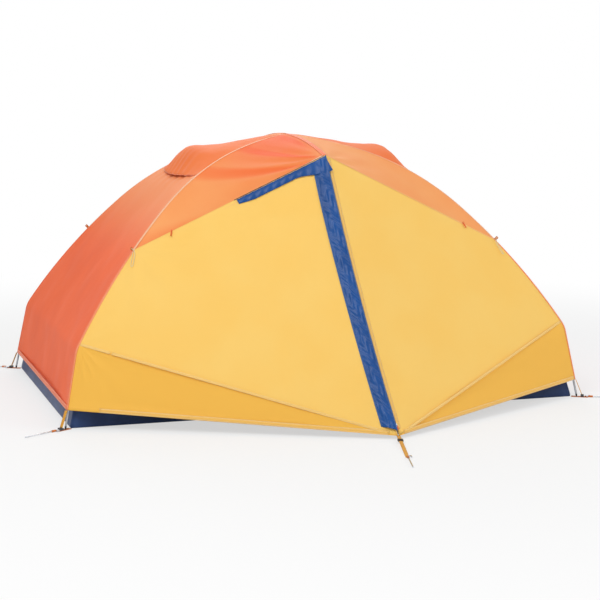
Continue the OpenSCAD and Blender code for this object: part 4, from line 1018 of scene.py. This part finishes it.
def dress():
    """Every panel, front and back."""
    for end, turn in TURN.items():
        left, right = side_name(end, "left"), side_name(end, "right")

        p, tone = roof_grid()
        piece = cloth(f"cloth_roof_{end}", p * turn, FLY_APRICOT, tone=tone)
        stretched(piece, p, "pole_a", "pole_b", "brow_pole")
        done(piece, "tent", "pale_orange_fly", f"fly_roof_{end}")

        p, tone = end_grid()
        piece = cloth(f"cloth_end_{left}", p * turn, FLY_ORANGE, tone=tone)
        done(stretched(piece, p, "pole_a", "pole_b"), "tent", "orange_fly", f"fly_end_{left}")

        p = hood_grid()
        piece = cloth(f"cloth_hood_{left}", p * turn, HOOD_ORANGE)
        done(stretched(piece, p, "pole_a", "pole_b"), "tent", "orange_fly", f"vent_hood_{left}")

        p = vent_net_grid()
        piece = cloth(f"cloth_vent_net_{left}", p * turn, VENT_NET, 0.0004)
        done(stretched(piece, p, f"vent_hood_{left}"), "tent", "white_mesh", "vent_mesh")

        p, tone = fixed_grid()
        piece = cloth(f"cloth_vestibule_{end}", p * turn, FLY_YELLOW, tone=tone)
        done(stretched(piece, p, "pole_a", "pole_b"), "tent", "yellow_fly", f"vestibule_{end}")

        p, tone = door_grid()
        piece = cloth(f"cloth_door_{end}", p * turn, FLY_YELLOW, tone=tone)
        stretched(piece, p, "pole_a", "pole_b", f"zip_{end}")
        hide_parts(f"door_gusset_{end}", f"fly_door_{end}")
        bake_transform(piece)

        p = flap_grid()
        piece = cloth(f"cloth_flap_{end}", p * turn, FLAP_BLUE)
        done(stretched(piece, p, f"cloth_door_{end}"), f"fly_door_{end}", "blue_taffeta", f"storm_flap_{end}")
        p = flap_arm_grid()
        piece = cloth(f"cloth_flap_arm_{end}", p * turn, FLAP_BLUE)
        done(stretched(piece, p, f"cloth_door_{end}"), f"fly_door_{end}", "blue_taffeta", f"storm_flap_{end}")

        p = inner_end_grid()
        piece = cloth(f"inner_cloth_end_{left}", p * turn, INNER_CREAM)
        done(stretched(piece, p, "pole_clips"), "tent", "cream_nylon", f"inner_end_{left}")
        p = inner_roof_grid()
        piece = cloth(f"inner_cloth_roof_{end}", p * turn, INNER_NET)
        done(stretched(piece, p, "pole_clips"), "tent", "white_mesh", "inner_roof")
        for sx, hand in ((-1, left), (1, right)):
            p = wall_grid(sx)
            piece = cloth(f"inner_cloth_wall_{end}_{hand}", p * turn, INNER_CREAM)
            done(stretched(piece, p, "pole_clips"), "tent", "cream_nylon", f"inner_side_{end}")
            p = gore_grid(sx)
            piece = cloth(f"inner_cloth_gore_{end}_{hand}", p * turn, INNER_CREAM)
            done(stretched(piece, p, "pole_clips"), "tent", "cream_nylon", f"inner_side_{end}")

        t = np.linspace(SILL_H + 0.001, SILL_H + DOOR_H - 0.001, 50)[:, None]
        p = wall_point(np.linspace(-1, 1, 61)[None, :] * (door_half(t) - 0.001), t)
        p = p + np.array([0, 0.002, 0]) * (1 - np.linspace(-1, 1, 61)[None, :, None] ** 2)
        piece = cloth(f"inner_cloth_door_{end}", p * turn, DOOR_NET)
        done(stretched(piece, p, "inner_side_" + end), f"inner_door_{end}", "door_mesh", f"inner_door_{end}")


def done(piece, body, slot_name, *nodes):
    """Lets a piece ride on a body and stand for CAD nodes. slot_name is not used."""
    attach(piece, body)
    if nodes:
        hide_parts(*nodes)
    return piece


# ---- Webbing, seams, hems and cords ----


def trim(name, edge, left, right, width, finish, slot_name, end_turn, body="tent", lift=0.0008):
    """A seam over the front's edge, turned to its end of the tent, on its body."""
    piece = seam(name, edge, left, right, width, finish, lift)
    piece.data.transform(turned(end_turn))
    return done(piece, body, slot_name)


def turned(turn):
    """Matrix of the turn that TURN gives as signs."""
    return Matrix.Diagonal((*turn.tolist(), 1.0))


def hung_hem(name, edge, side, width, finish, slot_name, end_turn, body="tent"):
    """A hem on the front's free edge, turned to its end of the tent, on its body."""
    piece = hem(name, edge, side, width, finish)
    piece.data.transform(turned(end_turn))
    return done(piece, body, slot_name)


def crease_seams(end, turn):
    """Seams over both front creases: roof to end panel above the join, and door or fixed panel to end
    panel below it."""
    for sx, hand in ((-1, "left"), (1, "right")):
        hand = side_name(end, hand)
        k = np.linspace(0.3, JOIN_K, 120)
        edge, over, beyond = crease(k, sx, -1), ridge(k), crease(k, sx, 1)
        sides = side_of(edge, over), side_of(edge, beyond)
        trim(f"seam_peak_{end}_{hand}", edge, *sides, SEAM_W, SEAM_APRICOT, "pale_orange_fly", turn)
        k = np.linspace(JOIN_K, HEM_K, 120)
        u = (k - JOIN_K) / (KNEE_K - JOIN_K)
        edge, beyond = crease(k, sx, -1), crease(k, sx, 1)
        zip_side = zip_line(np.minimum(u, 1))
        sides = side_of(edge, zip_side), side_of(edge, beyond)
        trim(f"seam_leg_{end}_{hand}", edge, *sides, SEAM_W, SEAM_ORANGE, "orange_fly", turn)


def knee_seams(end, turn):
    """Seams from both knees to the tip, where the upper panels meet the lower ones."""
    u = np.linspace(0.006, 0.97, 90)
    knee_r = crease(KNEE_K, 1, -1)
    for knee, sx, hand in ((FOLD, -1, "left"), (knee_r, 1, "right")):
        edge = lerp(knee, TIP, u)
        sides = side_of(edge, lerp(zip_line(0.5), knee, 0.3)), side_of(edge, crease(HEM_K, sx, -1))
        body = f"fly_door_{end}" if sx < 0 else "tent"
        name = f"seam_knee_{end}_{side_name(end, hand)}"
        trim(name, edge, *sides, KNEE_SEAM_W, SEAM_YELLOW, "yellow_fly", turn, body, 0.0012)
    edge = lerp(KNEE_L, FOLD, np.linspace(0.05, 1, 20))
    sides = side_of(edge, ZIP_TOP), side_of(edge, HEM_L)
    trim(f"seam_fold_{end}", edge, *sides, KNEE_SEAM_W, SEAM_YELLOW, "yellow_fly", turn)


def roof_seams(end, turn):
    """Ridge band with a row of stitches along each side, and the roof's stitched lower edge."""
    k = np.linspace(0.5, JOIN_K - 0.05, 90)
    edge = ridge(k)
    sides = side_of(edge, crease(k, -1, -1)), side_of(edge, crease(k, 1, -1))
    trim(f"band_ridge_{end}", edge, *sides, RIDGE_W, RIDGE_BAND, "orange_fly", turn, lift=0.0012)
    u = np.linspace(0.01, 0.99, 90)
    for sx, hand in ((-1, "left"), (1, "right")):
        edge = roof_edge(u, sx)
        out = DOOR_OUT if sx < 0 else unit(np.cross(TIP - APEX, APEX - JOIN_R)) * -1
        out = out if out[1] < 0 else -out
        edge = edge + out * 0.0006
        up = side_of(edge, ridge(6.0))
        name = f"hem_roof_{end}_{side_name(end, hand)}"
        hung_hem(name, edge, up, ROOF_HEM_W, SEAM_APRICOT, "pale_orange_fly", turn)


def bottom_hems(end, turn):
    """Hems along the lower edges of the end panel, the gusset with the door, and the fixed panel; the vent
    hood's brim; the yellow strip of the fixed panel beside the flap."""
    u = np.linspace(0.006, 0.994, 90)
    left = side_name(end, "left")
    a, b = crease(HEM_K, -1, -1), crease(HEM_K, -1, 1)
    edge = lerp(a, b, u)
    up = side_of(edge, lerp(crease(KNEE_K, -1, -1), crease(KNEE_K, -1, 1), u))
    hung_hem(f"hem_end_{left}", edge, up, HEM_W, HEM_ORANGE, "orange_fly", turn)
    p = hood_grid()
    rim = p[-1] if p[-1, 0, 2] < p[0, 0, 2] else p[0]
    inner = p[-8] if rim is p[-1] else p[7]
    hung_hem(f"hem_hood_{left}", rim, side_of(rim, inner), 0.015, HEM_ORANGE, "orange_fly", turn)
    for knee_x, hand, body in ((-1, "left", f"fly_door_{end}"), (1, "right", "tent")):
        corner = crease(HEM_K, knee_x, -1)
        u2 = np.linspace(0.10 if knee_x < 0 else 0.006, 0.97, 90)
        edge = lerp(corner, TIP, u2)
        up = side_of(edge, crease(KNEE_K, knee_x, -1))
        name = f"hem_low_{end}_{side_name(end, hand)}"
        hung_hem(name, edge, up, HEM_W, HEM_YELLOW, "yellow_fly", turn, body)
    u = np.linspace(0.01, 0.975, 160)
    edge = zip_line(u)
    away = side_of(edge, crease(JOIN_K + 3 * u, 1, -1))
    hung_hem(f"strip_zip_{end}", edge + away * 0.0045, away, 0.016, HEM_YELLOW, "yellow_fly", turn)


def flap_edges(end, turn):
    """Narrow folded hem along the flap's free edge, over the zip."""
    p = flap_grid()
    free, next_in = p[:, -1], p[:, -5]
    look = HEM_BLUE, "blue_taffeta", turn, f"fly_door_{end}"
    hung_hem(f"hem_flap_{end}", free, side_of(free, next_in), 0.006, *look)
    sewn, out = p[:, 0], p[:, 4]
    hung_hem(f"seam_flap_{end}", sewn, side_of(sewn, out), 0.007, *look)


def corner_patch(name, corner, a, b, reach, finish, slot_name, turn, body="tent"):
    """Doubled cloth at a corner: a fan of lines between two edges that leave the corner, reach long, with a
    hollow outer edge."""
    w = np.linspace(0, 1, 25)[None, :]
    r = np.linspace(0.02, 1, 13)[:, None]
    to_a, to_b = unit(a - corner) * reach, unit(b - corner) * reach
    way = to_a * (1 - w[..., None]) + to_b * w[..., None]
    hollow = 1 - 0.22 * np.sin(np.pi * w)
    p = corner + way * (r * hollow)[..., None]
    piece = cloth(name, raised(p, 0.0014), finish, 0.0005)
    piece.data.transform(turned(turn))
    return done(piece, body, slot_name)


def guy_frame(sx):
    """Join on side sx with unit vectors down the cloth, across it and out of it."""
    j = JOIN_L if sx < 0 else JOIN_R
    k = crease(JOIN_K + 1, sx, -1)
    n = unit(np.cross(k - j, APEX - j))
    n = n if n[1] < 0 else -n
    down = unit(np.array([0, 0, -1]) + n[2] * n)
    return j, down, np.cross(n, down) * sx, n


GUY_ROUTE = 0.001 * np.array([
    [-2, 4, 10], [-1, 1.5, 11.3], [2, -5, 11.5], [9, -10, 9], [18, -13, 6.5], [30, -14, 5.5], [44, -14, 5.5],
    [58, -14, 5.5], [72, -13.5, 5.5], [79, -12, 5.5], [82, -9, 5.5], [79, -6, 5.5], [72, -4.5, 5.5],
    [58, -4, 5.5],
    [44, -4, 5.5], [30, -4, 5.5], [20, -4, 6], [10, -4, 7], [3, -4, 8.2], [0.6, -2, 7.5], [-0.8, 1.5, 5.8]])


def guy_cords(end, turn):
    """Bundled guy cord at each join: a loop through its tab and down the cloth, as one cord."""
    for sx, hand in ((-1, "left"), (1, "right")):
        hand = side_name(end, hand)
        j, down, across, out = guy_frame(sx)
        line = through(GUY_ROUTE, np.linspace(0, len(GUY_ROUTE) - 1, 161))
        path = (j + line[:, :1] * down + line[:, 1:2] * across + line[:, 2:] * out) * turn
        piece = tube(f"guy_{end}_{hand}", path, CORD_D / 2, GUY_BRAID, 12)
        node = f"guy_cord_{end}_{hand}"
        done(piece, "tent", "guy_cord", node)


def guy_patches(end, turn):
    """Reinforcement at each join on the vestibule."""
    for sx, hand in ((-1, "left"), (1, "right")):
        j = JOIN_L if sx < 0 else JOIN_R
        body_hand = side_name(end, hand)
        corner_patch(f"patch_join_{end}_{body_hand}", j + (crease(JOIN_K + 1, sx, -1) - j) * 0.02,
                     crease(JOIN_K + 1, sx, -1), APEX - [0, 0, 0.30], 0.075, FLY_ORANGE, "orange_fly", turn)


def corner_webbing():
    """Corner tabs, the straps from the hem to them and the peg loops, at all four corners."""
    corners = ((-1, -1, "front_left"), (1, -1, "front_right"), (-1, 1, "back_left"), (1, 1, "back_right"))
    for sx, sy, hand in corners:
        p = tab_grid(sx, sy)
        p = p[:, ::-1] if np.cross(p[1, 0] - p[0, 0], p[0, 1] - p[0, 0])[2] < 0 else p
        tab = mesh_piece(f"tab_{hand}", p, grid_faces(9, 73), p[..., :2] @ turn_to(sx, sy), WEB_ORANGE, WEB_T)
        done(tab, "tent", "orange_webbing", "corner_tabs")
        path = fly_strap_path(sx, sy)
        across = np.array([-sy * np.sin(DIAGONAL), sx * np.cos(DIAGONAL), 0])
        piece = strap(f"strap_{hand}", path, across, STRAP_W, WEB_YELLOW)
        done(piece, "tent", "yellow_webbing", "fly_straps")
        way = on_diagonal(np.array([1.0, 0.0]), sx, sy)
        piece = loop(f"loop_{hand}", on_diagonal(np.array([1.38505, PEG_Z]), sx, sy), way)
        done(piece, "tent", "orange_webbing", "peg_loops")


def turn_to(sx, sy):
    """2 by 2 turn that lays the corner's diagonal along the UV's second axis."""
    c, s = sx * np.cos(DIAGONAL), sy * np.sin(DIAGONAL)
    return np.array([[-s, c], [c, s]])


def loop(name, start, way):
    """Short sleeve of webbing round a peg: a ring of webbing 20 mm long that is flatter below."""
    w = np.linspace(0, 2 * np.pi, 37)[:-1]
    r = 0.0043
    side = np.cross(way, UP)
    rise = np.sin(w) * np.where(np.sin(w) < 0, 0.97, 1.0) * r
    ring = side * (np.cos(w) * r)[:, None] + UP * rise[:, None]
    run = np.linspace(0, 0.020, 12)[:, None, None]
    p = start + way * run + ring[None]
    uv = np.stack(np.broadcast_arrays(w[None, :] * r, run[..., 0]), -1)
    return mesh_piece(name, p, grid_faces(12, 36, close_cols=True), uv, WEB_ORANGE, WEB_T)


def vestibule_webbing(end, turn):
    """Strap from the tip to its peg: a slanting run, then a flat end, with its loop round the peg."""
    a = np.radians(-105)
    way = np.array([np.cos(a), np.sin(a), 0])
    side = np.array([-way[1], way[0], 0])
    slope_l = 0.300 - 0.022
    x = np.concatenate([np.linspace(-0.010, slope_l, 40), np.linspace(slope_l + 0.002, 0.300, 8)])
    z = np.where(x < slope_l, 0.0132 + (0.0016 - 0.0132) * x / slope_l, 0.0016)
    path = np.array([TIP[0], TIP[1], 0]) + way * x[:, None] + UP * z[:, None]
    piece = strap(f"strap_vestibule_{end}", path, side, STRAP_W, WEB_YELLOW)
    piece.data.transform(turned(turn))
    done(piece, "tent", "yellow_webbing", "vestibule_straps")
    piece = loop(f"loop_vestibule_{end}", np.array([TIP[0], TIP[1], PEG_Z]) + way * 0.3003, way)
    piece.data.transform(turned(turn))
    done(piece, "tent", "orange_webbing", "peg_loops")


def guy_tab_pieces(end, turn):
    """Tab of webbing stood up on the seam at each join, with the cord's hole."""
    s, z = edge_line(HIGH_H, np.array(float(JOIN_K)), FLY_OFF, HEM_Z)
    t = float(slope(float(JOIN_K)))
    for sx, hand in ((-1, "left"), (1, "right")):
        a = np.linspace(0, 2 * np.pi, 49)
        c, q = np.cos(a), np.sin(a)
        reach = to_outline(0.006, np.where(q > 0, 0.005, 0.0107), c, q)
        r = 0.0017 + (reach - 0.0017) * np.linspace(0, 1, 7)[:, None]
        x, h = r * c, 0.0113 + r * q
        flat = np.stack([s + x * np.cos(t) + h * np.sin(t), z - x * np.sin(t) + h * np.cos(t)], -1)
        p = on_diagonal(flat, sx, -1)
        across = np.array([np.sin(DIAGONAL), sx * np.cos(DIAGONAL), 0]) * WEB_T / 2
        uv = np.stack([x, h], -1)
        name = f"guy_tab_{end}_{side_name(end, hand)}"
        piece = mesh_piece(name, p + across, grid_faces(7, 49), uv, WEB_ORANGE)
        solid = piece.modifiers.new("thickness", "SOLIDIFY")
        solid.thickness, solid.offset = WEB_T, 0
        piece.data.transform(Matrix.Translation(Vector(-across)))
        piece.data.transform(turned(turn))
        done(piece, "tent", "orange_plastic", "guy_tabs")


dress()
for end_name, end_turn in TURN.items():
    crease_seams(end_name, end_turn)
    knee_seams(end_name, end_turn)
    roof_seams(end_name, end_turn)
    bottom_hems(end_name, end_turn)
    flap_edges(end_name, end_turn)
    guy_cords(end_name, end_turn)
    guy_patches(end_name, end_turn)
    guy_tab_pieces(end_name, end_turn)
    vestibule_webbing(end_name, end_turn)
corner_webbing()

p = tub_grid()
rows, cols = p.shape[:2]
tub_uv = p[..., :2] + p[..., 2:] * np.sign(p[..., :2])
tub = mesh_piece("tub_cloth", p, grid_faces(rows, cols, close_cols=True), tub_uv, TUB_NAVY, 0.0012)
done(tub, "tent", "blue_floor", "floor_tub")

for node_name in ("zip_front", "zip_back"):
    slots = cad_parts[node_name].data.materials
    slots.clear()
    slots.append(ZIP_COIL)
